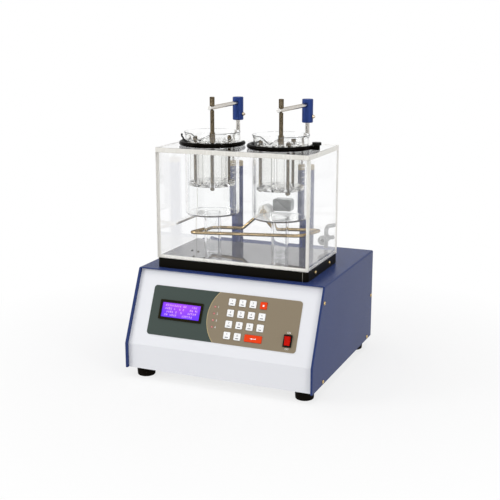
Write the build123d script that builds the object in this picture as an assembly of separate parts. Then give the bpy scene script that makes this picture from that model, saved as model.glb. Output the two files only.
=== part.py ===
from build123d import *
from math import atan2, ceil, cos, degrees, hypot, pi, radians, sin, tan
import os

# Tablet disintegration tester, two stations. Millimetres, +Z up, +X to the right, +Y to the back.
# The origin is on the table, under the middle of the cabinet.
# A motor in the cabinet turns a heart cam, which lifts a crosshead with two shafts. Each shaft
# carries a hub and an arm, and on each arm hangs a basket rack that dips into a glass beaker.

# Cabinet
cabinet_width = 380.0
cabinet_depth = 375.0
cabinet_height = 185.0
foot_height = 21.0
knee_height = 49.0
slope_run = 63.0
cover_sheet = 2.0
cover_corner_radius = 3.0
hem_thickness = 4.0
hem_depth = 5.7
case_sheet = 1.5
sheet_gap = 0.3
panel_inset = 6.0
rear_inset = 2.0
flange_depth = 14.0

# Working stations
station_spacing = 141.5
station_middle_x = -3.75
station_y = -31.6
shaft_spacing = 150.4
shaft_y = 102.5
shaft_diameter = 8.0
stroke = 55.0
rest_above_lowest = 25.0

# Water bath
tank_width = 308.0
tank_depth = 171.0
tank_middle_x = -2.5
tank_middle_y = -26.0
tank_base_height = 18.7
tank_height = 205.0
tank_wall = 6.0
lid_thickness = 9.0

# Glassware
beaker_diameter = 105.0
beaker_height = 159.5
beaker_wall = 2.4
support_diameter = 33.0
support_height = 74.3
tube_bore = 21.5
tube_wall = 1.75
tube_length = 77.5
rack_diameter = 90.0
rack_plate = 6.0

# Clearances shared by many pieces
hole_clearance = 0.2
running_clearance = 0.05
overrun = 20.0

# Places worked out from the sizes above
front_y = -cabinet_depth / 2
back_y = cabinet_depth / 2
floor_z = foot_height
top_z = foot_height + cabinet_height
knee_z = foot_height + knee_height
slope_top_y = front_y + slope_run
slope = atan2(slope_run, cabinet_height - knee_height)
case_half_width = cabinet_width / 2 - cover_sheet - sheet_gap
case_top_z = top_z - cover_sheet - sheet_gap
station_x = [station_middle_x - station_spacing / 2, station_middle_x + station_spacing / 2]
shaft_x = [station_middle_x - shaft_spacing / 2, station_middle_x + shaft_spacing / 2]
tank_floor_z = top_z + tank_base_height
tank_inner_z = tank_floor_z + tank_wall
lid_z = tank_floor_z + tank_height
lid_top_z = lid_z + lid_thickness
beaker_z = tank_inner_z + support_height


def block(low, high):
    """A box between two corners."""
    size = [b - a for a, b in zip(low, high)]
    middle = [(a + b) / 2 for a, b in zip(low, high)]
    return Pos(*middle) * Box(*size)


def upright(radius, bottom, top, x=0.0, y=0.0):
    """A cylinder on a vertical axis."""
    return Pos(x, y, (bottom + top) / 2) * Cylinder(radius, top - bottom)


def lengthwise(radius, front, back, x, z):
    """A cylinder on an axis from front to back."""
    return Pos(x, (front + back) / 2, z) * Rot(90, 0, 0) * Cylinder(radius, back - front)


def crosswise(radius, left, right, y, z):
    """A cylinder on an axis from left to right."""
    return Pos((left + right) / 2, y, z) * Rot(0, 90, 0) * Cylinder(radius, right - left)


def hexagon(across_flats, bottom, top):
    """A six-sided nut blank on the vertical axis."""
    outline = RegularPolygon(across_flats / 2, 6, major_radius=False)
    return Pos(0, 0, bottom) * extrude(outline, amount=top - bottom)


# The cabinet's side view, drawn at any set-back from its outer face
def slanted_y(inset, height):
    return front_y + (height - knee_z) * tan(slope) + inset / cos(slope)


def inner_knee_z(inset):
    return knee_z - inset * (1 / cos(slope) - 1) / tan(slope)


def side_prism(inset, bottom, top, back, half_width):
    outline = Polyline(
        (front_y + inset, bottom),
        (front_y + inset, inner_knee_z(inset)),
        (slanted_y(inset, top), top),
        (back, top),
        (back, bottom),
        close=True,
    )
    return extrude(Plane.YZ * make_face(outline), amount=half_width, both=True)


# The face of the sloping panel: local x to the right, y up the slope, z out of the face
control_plane = Plane(
    origin=(0, slope_top_y + panel_inset * cos(slope), top_z - panel_inset * sin(slope)),
    x_dir=(1, 0, 0),
    z_dir=(0, -cos(slope), sin(slope)),
)


def on_panel(x, down, low, high, shape_face):
    """Extrudes a flat outline between two heights over the sloping panel."""
    return control_plane * Pos(x, -down, low) * extrude(shape_face, amount=high - low)


# Control overlay and the places of everything on it
overlay_width = 302.6
overlay_height = 95.6
overlay_down = 78.3
overlay_thickness = 0.8
overlay_corner = 6.0
panel_cut_depth = 12.0

key_size = 13.3
key_corner = 1.6
key_pitch = 21.0
key_first_x = 14.0
key_rise = 1.2
key_edge_round = 0.5
key_gap = 0.35
key_rim = 1.0
key_rim_thickness = 1.0
key_travel = 0.5
key_seat_gap = 0.05
key_rows = 4
key_columns = 4

screen_x = -87.6
screen_down = 75.8
screen_width = 80.6
screen_height = 28.0
bezel_width = 89.4
bezel_height = 38.0
bezel_rise = 1.8
bezel_corner = 2.0
bezel_neck_wall = 2.0
bezel_neck_depth = 3.0
screen_recess = 2.2
screen_gap = 0.1

lamp_x = -19.0
lamp_pitch = 12.85
lamp_diameter = 4.0
lamp_setback = 1.0
lamp_count = 4

switch_x = 133.6
switch_down = 105.3
switch_width = 16.2
switch_height = 23.0
switch_rise = 2.0
switch_corner = 1.0
switch_body_width = 13.4
switch_body_height = 20.4
switch_body_depth = 18.0
rocker_width = 10.4
rocker_radius = 8.6
rocker_face_height = 2.0
rocker_pivot_height = 1.6
rocker_tilt = 10.0
rocker_gap = 0.3
rocker_edge_round = 0.4
trunnion_diameter = 2.4
trunnion_reach = 0.6

board_clearance = 0.25
board_switch_height = 4.3
board_switch_size = 6.0
board_thickness = 1.6
board_margin = 9.0
board_edge = 5.0
pillar_diameter = 6.0

key_bottom = -case_sheet - key_seat_gap - key_rim_thickness
board_switch_top = key_bottom - key_travel - board_clearance
board_face = board_switch_top - board_switch_height


def key_places():
    """Name, x, distance down the slope and width of every key."""
    first_down = overlay_down - (key_rows - 1) / 2 * key_pitch
    places = []
    for row in range(key_rows):
        for column in range(key_columns):
            x = key_first_x + column * key_pitch
            down = first_down + row * key_pitch
            if row == key_rows - 1 and column == key_columns - 2:
                wide = key_size + key_pitch
                places.append(("key_enter", x + key_pitch / 2, down, wide))
            elif row < key_rows - 1 or column < key_columns - 2:
                name = f"key_{row + 1}_{column + 1}"
                if row == 0 and column == key_columns - 1:
                    name = "key_stop"
                places.append((name, x, down, key_size))
    return places


def lamp_places():
    first_down = overlay_down - (lamp_count - 1) / 2 * lamp_pitch
    return [first_down + i * lamp_pitch for i in range(lamp_count)]


def panel_openings():
    """Every cut that the overlay and the sheet behind it share."""
    low = -panel_cut_depth
    high = panel_cut_depth
    cuts = []
    for _, x, down, width in key_places():
        outline = RectangleRounded(width + 2 * key_gap, key_size + 2 * key_gap, key_corner)
        cuts.append(on_panel(x, down, low, high, outline))
    for down in lamp_places():
        outline = Circle(lamp_diameter / 2 + hole_clearance)
        cuts.append(on_panel(lamp_x, down, low, high, outline))
    neck = Rectangle(
        screen_width + 2 * bezel_neck_wall + hole_clearance,
        screen_height + 2 * bezel_neck_wall + hole_clearance,
    )
    cuts.append(on_panel(screen_x, screen_down, low, high, neck))
    body = Rectangle(switch_body_width + hole_clearance, switch_body_height + hole_clearance)
    cuts.append(on_panel(switch_x, switch_down, low, high, body))
    return cuts


# Screws of the case: round heads on a plain shank
screw_head_diameter = 7.0
screw_head_height = 2.2
screw_shank_diameter = 3.0
screw_shank_length = 8.0
screw_head_round = 1.2
side_screw_setback = 10.0
side_screw_drop = 30.0
back_screw_setback = 8.0
back_screw_height = 90.0
low_screw_height = 5.5
low_front_setback = 58.5
low_back_setback = 30.0
base_screw_spacing = 81.6
base_screw_shift = -1.7


def case_screw():
    """A screw that points along -X, with the seat of its head at the origin."""
    head = Cylinder(screw_head_diameter / 2, screw_head_height)
    head = Pos(0, 0, screw_head_height / 2) * head
    head = fillet(head.edges().sort_by(Axis.Z)[-1], screw_head_round)
    shank = upright(screw_shank_diameter / 2, -screw_shank_length, 0)
    return Rot(0, 90, 0) * (head + shank)


def side_screw_places():
    upper_z = top_z - side_screw_drop
    return [
        (slanted_y(side_screw_setback, upper_z), upper_z),
        (back_y - back_screw_setback, floor_z + back_screw_height),
        (front_y + low_front_setback, floor_z + low_screw_height),
        (back_y - low_back_setback, floor_z + low_screw_height),
    ]


def base_screw_places():
    height = top_z + tank_base_height / 2
    middle = tank_middle_y + base_screw_shift
    return [(middle - base_screw_spacing / 2, height), (middle + base_screw_spacing / 2, height)]


def case_screws():
    screws = []
    for y, z in side_screw_places():
        screws.append(Pos(cabinet_width / 2, y, z) * case_screw())
        screws.append(Pos(-cabinet_width / 2, y, z) * Rot(0, 0, 180) * case_screw())
    for y, z in base_screw_places():
        screws.append(Pos(tank_middle_x + tank_width / 2, y, z) * case_screw())
    return Compound(children=screws)


def screw_holes(places, left, right):
    radius = (screw_shank_diameter + hole_clearance) / 2
    return [crosswise(radius, left, right, y, z) for y, z in places]


# Guide columns, with a flange under the cover's top and a bush at each end
column_diameter = 24.0
column_bore = 20.0
column_rise = 175.0
column_tail = 14.0
column_flange_diameter = 44.0
column_flange_thickness = 4.0
bush_head_height = 10.0
bush_head_round = 1.5
bush_length = 24.0
bush_tail_height = 2.0

column_top_z = top_z + column_rise


def cover():
    """The painted U: a top and two sides, with a hem along the front of each side."""
    half = cabinet_width / 2
    shell = side_prism(0, floor_z, top_z, back_y, half)
    long_edges = shell.edges().filter_by(Axis.Y).group_by(Axis.Z)[-1]
    shell = fillet(long_edges, cover_corner_radius)
    inside = block(
        (-half + cover_sheet, front_y - overrun, floor_z - overrun),
        (half - cover_sheet, back_y + overrun, top_z - cover_sheet),
    )
    inner_edges = inside.edges().filter_by(Axis.Y).group_by(Axis.Z)[-1]
    shell -= fillet(inner_edges, cover_corner_radius - cover_sheet)
    hem = side_prism(0, floor_z, top_z - cover_sheet, back_y, half - cover_sheet)
    hem -= side_prism(hem_depth, floor_z - overrun, top_z, back_y + overrun, half)
    hem -= block(
        (-half + hem_thickness, front_y - overrun, floor_z - overrun),
        (half - hem_thickness, back_y, top_z),
    )
    shell += hem
    for x in shaft_x:
        shell -= upright(column_diameter / 2 + hole_clearance, top_z - overrun, top_z + overrun, x, shaft_y)
    for hole in screw_holes(side_screw_places(), -half - overrun, half + overrun):
        shell -= hole
    return shell


def front_panel():
    """The white folded front: plumb strip, sloping face, bottom lip and two side flanges."""
    half = case_half_width
    solid = side_prism(panel_inset, floor_z, case_top_z, back_y, half)
    behind = side_prism(panel_inset + case_sheet, floor_z + case_sheet, top_z, back_y, half - case_sheet)
    sheet = solid - behind
    reach = panel_inset + case_sheet + flange_depth
    beyond = side_prism(reach, floor_z - overrun, top_z, back_y + overrun, half + overrun)
    sheet -= beyond
    for cut in panel_openings():
        sheet -= cut
    for hole in screw_holes(side_screw_places(), -half - overrun, half + overrun):
        sheet -= hole
    return sheet


def base_plate():
    """The floor of the case, between the front panel's lip and the rear panel."""
    half = case_half_width
    front = front_y + panel_inset + case_sheet + flange_depth + sheet_gap
    back = back_y - rear_inset - case_sheet - flange_depth - sheet_gap
    plate = block((-half, front, floor_z), (half, back, floor_z + case_sheet))
    for side in (-1, 1):
        edge = sorted((side * half, side * (half - case_sheet)))
        plate += block((edge[0], front, floor_z), (edge[1], back, floor_z + flange_depth))
    for hole in screw_holes(side_screw_places(), -half - overrun, half + overrun):
        plate -= hole
    return plate


# Rear panel with its vents and the mains inlet
vent_length = 60.0
vent_width = 4.0
vent_pitch = 9.0
vent_rows = 8
vent_x = 90.0
vent_middle_height = 105.0
inlet_x = -120.0
inlet_height = 48.0
inlet_width = 50.0
inlet_tall = 28.0
inlet_face = 2.0
inlet_corner = 4.0
inlet_body_width = 30.0
inlet_body_tall = 22.0
inlet_body_depth = 24.0
inlet_mouth_width = 25.0
inlet_mouth_tall = 17.0
inlet_mouth_depth = 17.0
blade_width = 2.0
blade_tall = 4.0
blade_pitch = 7.0
blade_lift = 4.0
blade_setback = 5.0

rear_y = back_y - rear_inset
inlet_z = floor_z + inlet_height


def rear_panel():
    half = case_half_width
    sheet = block((-half, rear_y - case_sheet - flange_depth, floor_z), (half, rear_y, case_top_z))
    sheet -= block(
        (-half + case_sheet, rear_y - case_sheet - flange_depth - overrun, floor_z + case_sheet),
        (half - case_sheet, rear_y - case_sheet, case_top_z + overrun),
    )
    for side in (-1, 1):
        for row in range(vent_rows):
            height = floor_z + vent_middle_height + (row - (vent_rows - 1) / 2) * vent_pitch
            slot = extrude(SlotOverall(vent_length, vent_width), amount=overrun, both=True)
            sheet -= Pos(side * vent_x, rear_y, height) * Rot(90, 0, 0) * slot
    sheet -= block(
        (
            inlet_x - (inlet_body_width + hole_clearance) / 2,
            rear_y - overrun,
            inlet_z - (inlet_body_tall + hole_clearance) / 2,
        ),
        (
            inlet_x + (inlet_body_width + hole_clearance) / 2,
            rear_y + overrun,
            inlet_z + (inlet_body_tall + hole_clearance) / 2,
        ),
    )
    for hole in screw_holes(side_screw_places(), -half - overrun, half + overrun):
        sheet -= hole
    return sheet


def power_inlet():
    """The mains inlet: a shrouded socket with three flat blades."""
    place = Plane(origin=(inlet_x, rear_y, inlet_z), x_dir=(-1, 0, 0), z_dir=(0, 1, 0))
    face = extrude(RectangleRounded(inlet_width, inlet_tall, inlet_corner), amount=inlet_face)
    body = extrude(Rectangle(inlet_body_width, inlet_body_tall), amount=-inlet_body_depth)
    mouth = extrude(Rectangle(inlet_mouth_width, inlet_mouth_tall), amount=inlet_mouth_depth)
    inlet = face + body - Pos(0, 0, inlet_face - inlet_mouth_depth) * mouth
    blade = extrude(Rectangle(blade_width, blade_tall), amount=inlet_mouth_depth - blade_setback)
    for step in (-1, 0, 1):
        lift = blade_lift / 2 if step == 0 else -blade_lift / 2
        inlet += Pos(step * blade_pitch, lift, inlet_face - inlet_mouth_depth) * blade
    return place * inlet


# Rubber feet
foot_diameter = 37.0
foot_base_diameter = 34.0
foot_round = 2.5
foot_recess_diameter = 10.0
foot_recess_depth = 5.0
foot_side_setback = 26.5
foot_end_setback = 34.0


def feet():
    foot = loft([
        Circle(foot_base_diameter / 2),
        Pos(0, 0, foot_height) * Circle(foot_diameter / 2),
    ])
    foot = fillet(foot.edges().sort_by(Axis.Z)[0], foot_round)
    foot -= upright(foot_recess_diameter / 2, -overrun, foot_recess_depth)
    x = cabinet_width / 2 - foot_side_setback
    y = cabinet_depth / 2 - foot_end_setback
    return Compound(children=[Pos(i * x, j * y, 0) * foot for i in (-1, 1) for j in (-1, 1)])


def overlay():
    outline = RectangleRounded(overlay_width, overlay_height, overlay_corner)
    plate = on_panel(0, overlay_down, 0, overlay_thickness, outline)
    for cut in panel_openings():
        plate -= cut
    return plate


def screen_bezel():
    rim = RectangleRounded(bezel_width, bezel_height, bezel_corner)
    top = overlay_thickness + bezel_rise
    frame = on_panel(screen_x, screen_down, overlay_thickness, top, rim)
    neck = Rectangle(screen_width + 2 * bezel_neck_wall, screen_height + 2 * bezel_neck_wall)
    frame += on_panel(screen_x, screen_down, -bezel_neck_depth, top, neck)
    window = Rectangle(screen_width, screen_height)
    frame -= on_panel(screen_x, screen_down, -bezel_neck_depth - overrun, top + overrun, window)
    return frame


def screen():
    """The display module, from its board to just under the bezel's face."""
    face = Rectangle(screen_width - 2 * screen_gap, screen_height - 2 * screen_gap)
    top = overlay_thickness + bezel_rise - screen_recess
    return on_panel(screen_x, screen_down, board_face, top, face)


def key(x, down, width):
    """A cap with rounded edges, and a rim behind the sheet that stops it."""
    top = overlay_thickness + key_rise
    cap = extrude(RectangleRounded(width, key_size, key_corner), amount=top - key_bottom)
    cap = fillet(cap.edges().group_by(Axis.Z)[-1], key_edge_round)
    rim = Rectangle(width + 2 * key_rim, key_size + 2 * key_rim)
    cap += extrude(rim, amount=key_rim_thickness)
    return control_plane * Pos(x, -down, key_bottom) * cap


def status_lamps():
    """Four round-nosed lamps that stand on the board and show through the overlay."""
    radius = lamp_diameter / 2
    barrel_top = overlay_thickness - lamp_setback
    barrel = Pos(0, 0, (board_face + barrel_top) / 2) * Cylinder(radius, barrel_top - board_face)
    lamp = barrel + Pos(0, 0, barrel_top) * Sphere(radius)
    return Compound(children=[control_plane * Pos(lamp_x, -down, 0) * lamp for down in lamp_places()])


def control_board():
    """The board behind the panel, with a switch under each key, on pillars."""
    left = screen_x - bezel_width / 2 - board_margin
    right = key_first_x + (key_columns - 1) * key_pitch + key_size / 2 + board_margin
    width = right - left
    middle = (left + right) / 2
    height = overlay_height - board_edge
    bottom = board_face - board_thickness
    board = on_panel(middle, overlay_down, bottom, board_face, Rectangle(width, height))
    for _, x, down, _ in key_places():
        body = Rectangle(board_switch_size, board_switch_size)
        board += on_panel(x, down, board_face, board_switch_top, body)
    for i in (-1, 0, 1):
        for j in (-1, 1):
            x = middle + i * (width - pillar_diameter) / 2
            down = overlay_down + j * (height - pillar_diameter) / 2
            board += on_panel(x, down, board_face, -case_sheet, Circle(pillar_diameter / 2))
    return board


def switch_pivot():
    """The rocker's axis, on the sloping face."""
    return control_plane * Pos(switch_x, -switch_down, overlay_thickness + rocker_pivot_height)


def switch_body():
    rim = RectangleRounded(switch_width, switch_height, switch_corner)
    top = overlay_thickness + switch_rise
    body = on_panel(switch_x, switch_down, overlay_thickness, top, rim)
    block_outline = Rectangle(switch_body_width, switch_body_height)
    body += on_panel(switch_x, switch_down, -switch_body_depth, top, block_outline)
    well_width = rocker_width + 2 * rocker_gap
    well_height = 2 * (rocker_radius + rocker_gap)
    well_depth = rocker_radius + rocker_gap - rocker_pivot_height - overlay_thickness
    well = Rectangle(well_width, well_height)
    body -= on_panel(switch_x, switch_down, -well_depth, top + overrun, well)
    reach = rocker_width / 2 + rocker_gap + trunnion_reach + running_clearance
    bore = Cylinder(trunnion_diameter / 2 + running_clearance, 2 * reach)
    return body - switch_pivot() * Rot(0, 90, 0) * bore


def switch_rocker():
    """A round-backed rocker with a shallow V face, resting with its lower end pressed."""
    disc = Rot(0, 90, 0) * Cylinder(rocker_radius, rocker_width)
    rise = rocker_radius * tan(radians(rocker_tilt))
    half = rocker_width
    outline = Polyline(
        (-rocker_radius, -overrun),
        (-rocker_radius, rocker_face_height + rise),
        (0, rocker_face_height),
        (rocker_radius, rocker_face_height + rise),
        (rocker_radius, -overrun),
        close=True,
    )
    wedge = extrude(Plane.YZ * make_face(outline), amount=half, both=True)
    rocker = disc & wedge
    rocker = fillet(rocker.edges().filter_by(Axis.X), rocker_edge_round)
    reach = rocker_width / 2 + rocker_gap + trunnion_reach
    rocker += Rot(0, 90, 0) * Cylinder(trunnion_diameter / 2, 2 * reach)
    return switch_pivot() * Rot(rocker_tilt, 0, 0) * rocker


# Lifting gear in the cabinet
cam_rise = 72.0
cam_thickness = 8.0
cam_gap = 8.5
cam_least_radius = 20.0
cam_clearance = 0.3
cam_points = 24
cam_nose_share = 0.97
cam_hub_diameter = 26.0
cam_hub_length = 6.0
cam_shaft_diameter = 10.0
cam_shaft_lead = 4.0
roller_diameter = 16.0
roller_pin_diameter = 6.0
roller_cap_diameter = 10.0
roller_cap_thickness = 2.0
roller_end_gap = 0.3
crosshead_height = 24.0
crosshead_thickness = 12.0
crosshead_overhang = 14.0
crosshead_corner = 4.0
gearbox_size = 62.0
gearbox_depth = 28.0
gearbox_corner = 4.0
motor_diameter = 58.0
motor_length = 42.0
bracket_width = 90.0
bracket_sheet = 3.0
bracket_gap = 5.0
bracket_foot_depth = 60.0
shaft_socket_depth = 20.0

cam_middle_z = floor_z + cam_rise
crosshead_front = shaft_y - crosshead_thickness / 2
cam_back = crosshead_front - cam_gap
cam_front = cam_back - cam_thickness
bracket_back = cam_front - cam_hub_length - bracket_gap
bracket_front = bracket_back - bracket_sheet
roller_z = cam_middle_z + cam_least_radius + rest_above_lowest
socket_end = bracket_front - shaft_socket_depth


def heart_side():
    """One side of the cam: a line that rises evenly with the angle, inset by the roller's radius."""
    inset = roller_diameter / 2 + cam_clearance
    rise = stroke / pi
    points = []
    for i in range(cam_points):
        angle = pi * cam_nose_share * i / (cam_points - 1)
        radius = cam_least_radius + rise * angle
        along_x = rise * sin(angle) + radius * cos(angle)
        along_y = rise * cos(angle) - radius * sin(angle)
        size = hypot(along_x, along_y)
        x = radius * sin(angle) + along_y / size * inset
        y = radius * cos(angle) - along_x / size * inset
        points.append((x, y))
    return points


def heart_cam():
    """The cam, its hub and the output shaft, turned to match the resting height."""
    right = heart_side()
    left = [(-x, y) for x, y in right]
    inset = roller_diameter / 2 + cam_clearance
    notch = ThreePointArc(left[0], (0, cam_least_radius - inset), right[0])
    nose = ThreePointArc(right[-1], (0, inset - cam_least_radius - stroke), left[-1])
    face = make_face(Curve() + [Spline(*right), notch, Spline(*left), nose])
    plate = extrude(face, amount=cam_thickness / 2, both=True)
    turn = degrees(pi * rest_above_lowest / stroke)
    middle = Pos(station_middle_x, (cam_front + cam_back) / 2, cam_middle_z)
    cam = middle * Rot(90, 0, 0) * Rot(0, 0, turn) * plate
    hub_front = cam_front - cam_hub_length
    cam += lengthwise(cam_hub_diameter / 2, hub_front, cam_front, station_middle_x, cam_middle_z)
    shaft_back = cam_back + cam_shaft_lead
    shaft_front = socket_end + roller_end_gap
    cam += lengthwise(cam_shaft_diameter / 2, shaft_front, shaft_back, station_middle_x, cam_middle_z)
    return cam


def gear_motor():
    """Motor and gearbox on an angle bracket that stands on the base plate."""
    x = station_middle_x
    base = floor_z + case_sheet
    half = bracket_width / 2
    top = cam_middle_z + gearbox_size / 2
    foot_front = bracket_back - bracket_foot_depth
    bracket = block((x - half, bracket_front, base), (x + half, bracket_back, top))
    bracket += block((x - half, foot_front, base), (x + half, bracket_back, base + bracket_sheet))
    bracket -= lengthwise(cam_hub_diameter / 2, foot_front, bracket_back + overrun, x, cam_middle_z)
    motor_back = bracket_front - gearbox_depth
    box = block(
        (x - gearbox_size / 2, motor_back, cam_middle_z - gearbox_size / 2),
        (x + gearbox_size / 2, bracket_front, cam_middle_z + gearbox_size / 2),
    )
    box = fillet(box.edges().filter_by(Axis.Y), gearbox_corner)
    box += lengthwise(motor_diameter / 2, motor_back - motor_length, motor_back, x, cam_middle_z)
    bore = cam_shaft_diameter / 2 + running_clearance
    box -= lengthwise(bore, socket_end, bracket_front + overrun, x, cam_middle_z)
    return Compound(children=[bracket, box])


def crosshead():
    """The bar that ties the two shafts, with the roller's pin in front."""
    left = shaft_x[0] - crosshead_overhang
    right = shaft_x[1] + crosshead_overhang
    low = roller_z - crosshead_height / 2
    high = roller_z + crosshead_height / 2
    bar = block((left, crosshead_front, low), (right, crosshead_front + crosshead_thickness, high))
    bar = fillet(bar.edges().filter_by(Axis.Y), crosshead_corner)
    for x in shaft_x:
        bar -= upright(shaft_diameter / 2, low - overrun, high + overrun, x, shaft_y)
    pin_front = cam_front - roller_end_gap
    bar += lengthwise(roller_pin_diameter / 2, pin_front, crosshead_front, station_middle_x, roller_z)
    collar = (roller_cap_diameter / 2, cam_back + roller_end_gap, crosshead_front)
    bar += lengthwise(*collar, station_middle_x, roller_z)
    cap = (roller_cap_diameter / 2, pin_front - roller_cap_thickness, pin_front)
    bar += lengthwise(*cap, station_middle_x, roller_z)
    return bar


def cam_roller():
    wheel = lengthwise(roller_diameter / 2, cam_front, cam_back, station_middle_x, roller_z)
    bore = roller_pin_diameter / 2 + running_clearance
    return wheel - lengthwise(bore, cam_front - overrun, cam_back + overrun, station_middle_x, roller_z)


# Hubs and arms
hub_diameter = 22.0
hub_height = 46.5
hub_above_beaker = 10.0
hub_edge = 1.0
hub_shaft_cap = 4.5
hub_arm_drop = 11.5
hub_arm_depth = 6.5
hub_ring_diameter = 10.4
hub_ring_depth = 1.5
arm_diameter = 8.0
arm_tip_reach = 14.0
arm_tip_round = 1.0
arm_flat = 0.7
slot_width = 4.6
slot_past_middle = 2.4
hub_screw_lift = 12.0
hub_screw_head_diameter = 8.4
hub_screw_tip_diameter = 3.4
hub_screw_head_length = 3.8
hub_screw_collar = 0.8

hub_bottom_z = beaker_z + beaker_height + hub_above_beaker
arm_z = hub_bottom_z + hub_height - hub_arm_drop
arm_reach = hypot(shaft_y - station_y, (shaft_spacing - station_spacing) / 2)
arm_toe = degrees(atan2((shaft_spacing - station_spacing) / 2, shaft_y - station_y))
arm_seat_z = arm_z + arm_diameter / 2 - arm_flat


def at_shaft(side):
    """The frame of one shaft, turned so that local -Y points along its arm."""
    toe = arm_toe if side == 0 else -arm_toe
    return Pos(shaft_x[side], shaft_y, 0) * Rot(0, 0, toe)


def lift_shafts():
    bottom = roller_z - crosshead_height / 2
    top = hub_bottom_z + hub_height - hub_shaft_cap
    return Compound(children=[upright(shaft_diameter / 2, bottom, top, x, shaft_y) for x in shaft_x])


def guide_columns():
    bottom = top_z - cover_sheet - column_tail
    flange_top = top_z - cover_sheet
    columns = []
    for x in shaft_x:
        column = upright(column_diameter / 2, bottom, column_top_z, x, shaft_y)
        flange_bottom = flange_top - column_flange_thickness
        column += upright(column_flange_diameter / 2, flange_bottom, flange_top, x, shaft_y)
        column -= upright(column_bore / 2, bottom - overrun, column_top_z + overrun, x, shaft_y)
        columns.append(column)
    return Compound(children=columns)


def guide_bushes():
    bore = shaft_diameter / 2 + running_clearance
    bottom = top_z - cover_sheet - column_tail
    bushes = []
    for x in shaft_x:
        head_top = column_top_z + bush_head_height
        head = upright(column_diameter / 2, column_top_z, head_top, x, shaft_y)
        head = fillet(head.edges().sort_by(Axis.Z)[-1], bush_head_round)
        head += upright(column_bore / 2, column_top_z - bush_length, column_top_z, x, shaft_y)
        head -= upright(bore, column_top_z - bush_length - overrun, head_top + overrun, x, shaft_y)
        tail = upright(column_diameter / 2, bottom - bush_tail_height, bottom, x, shaft_y)
        tail += upright(column_bore / 2, bottom, bottom + bush_length, x, shaft_y)
        tail -= upright(bore, bottom - overrun, bottom + bush_length + overrun, x, shaft_y)
        bushes += [head, tail]
    return Compound(children=bushes)


def arm_hubs():
    """Two round hubs: shaft from below, arm from the front, thumb screw from the right."""
    hubs = []
    top = hub_bottom_z + hub_height
    face = -hub_diameter / 2
    for side in (0, 1):
        hub = upright(hub_diameter / 2, hub_bottom_z, top)
        hub = chamfer(hub.edges().filter_by(GeomType.CIRCLE), hub_edge)
        hub -= upright(shaft_diameter / 2, hub_bottom_z - overrun, top - hub_shaft_cap)
        hub -= lengthwise(arm_diameter / 2, face - overrun, face + hub_arm_depth, 0, arm_z)
        hub -= lengthwise(hub_ring_diameter / 2, face - overrun, face + hub_ring_depth, 0, arm_z)
        x = shaft_x[side]
        screw_z = hub_bottom_z + hub_screw_lift
        tap = crosswise(screw_shank_diameter / 2, x, x + hub_diameter / 2 + overrun, shaft_y, screw_z)
        hubs.append(at_shaft(side) * hub - tap)
    return Compound(children=hubs)


def hub_screws():
    """Pointed thumb screws that lock the hubs on their shafts."""
    screws = []
    z = hub_bottom_z + hub_screw_lift
    for x in shaft_x:
        seat = x + hub_diameter / 2
        head = Pos(0, 0, hub_screw_collar) * Cone(
            hub_screw_head_diameter / 2,
            hub_screw_tip_diameter / 2,
            hub_screw_head_length,
            align=(Align.CENTER, Align.CENTER, Align.MIN),
        )
        head += upright(hub_screw_head_diameter / 2, 0, hub_screw_collar)
        shank = crosswise(screw_shank_diameter / 2, x + shaft_diameter / 2, seat, shaft_y, z)
        screws.append(shank + Pos(seat, shaft_y, z) * Rot(0, 90, 0) * head)
    return Compound(children=screws)


def arms():
    """Round bars with a flat and a side slot, in which the hanger's neck sits."""
    bars = []
    for side in (0, 1):
        inner = -hub_diameter / 2 + hub_arm_depth
        tip = -arm_reach - arm_tip_reach
        bar = lengthwise(arm_diameter / 2, tip, inner, 0, arm_z)
        bar = fillet(bar.edges().sort_by(Axis.Y)[0], arm_tip_round)
        half_flat = hanger_head_diameter / 2 + hole_clearance
        bar -= block(
            (-arm_diameter, -arm_reach - half_flat, arm_seat_z),
            (arm_diameter, -arm_reach + half_flat, arm_z + arm_diameter),
        )
        bar -= block(
            (-arm_diameter, -arm_reach - slot_width / 2, arm_z - arm_diameter),
            (slot_past_middle, -arm_reach + slot_width / 2, arm_z + arm_diameter),
        )
        bars.append(at_shaft(side) * bar)
    return Compound(children=bars)


# Basket racks
hanger_head_diameter = 9.4
hanger_head_height = 17.0
hanger_head_edge = 0.6
hanger_neck_diameter = 4.0
hanger_neck_play = 1.2
hanger_diameter = 7.8
hanger_boss_diameter = 10.6
hanger_boss_height = 14.0
hanger_stud_diameter = 6.0
hanger_nut_flats = 10.0
hanger_nut_height = 5.0
rack_above_beaker_foot = 57.0
tube_seat_depth = 2.0
tube_seat_clearance = 0.1
tube_circle = 60.0
tube_count = 6
rod_circle = 77.0
rod_count = 3
rod_diameter = 5.5
rod_thread_reach = 1.5
rod_nut_flats = 8.0
rod_nut_height = 4.5
rod_hole_clearance = 0.1
net_thickness = 0.6
net_radius = 42.5
net_aperture = 2.0
net_pitch = 2.63
net_edge = 0.3
rack_turns = [-65.0, -48.0]

rack_bottom_z = beaker_z + rack_above_beaker_foot
rack_height = tube_length + 2 * (rack_plate - tube_seat_depth)
rack_top_z = rack_bottom_z + rack_height
upper_plate_z = rack_top_z - rack_plate
tube_bottom_z = rack_bottom_z + rack_plate - tube_seat_depth


def round_places(diameter, count, start):
    """Evenly spaced points of a circle; start is the first one's angle as a share of a step."""
    angles = [2 * pi * (i + start) / count for i in range(count)]
    return [(diameter / 2 * cos(angle), diameter / 2 * sin(angle)) for angle in angles]


def tube_places():
    return round_places(tube_circle, tube_count, 1 / 2)


def rod_places():
    return round_places(rod_circle, rod_count, 0)


def at_rack(side):
    return Pos(station_x[side], station_y, 0) * Rot(0, 0, rack_turns[side])


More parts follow.
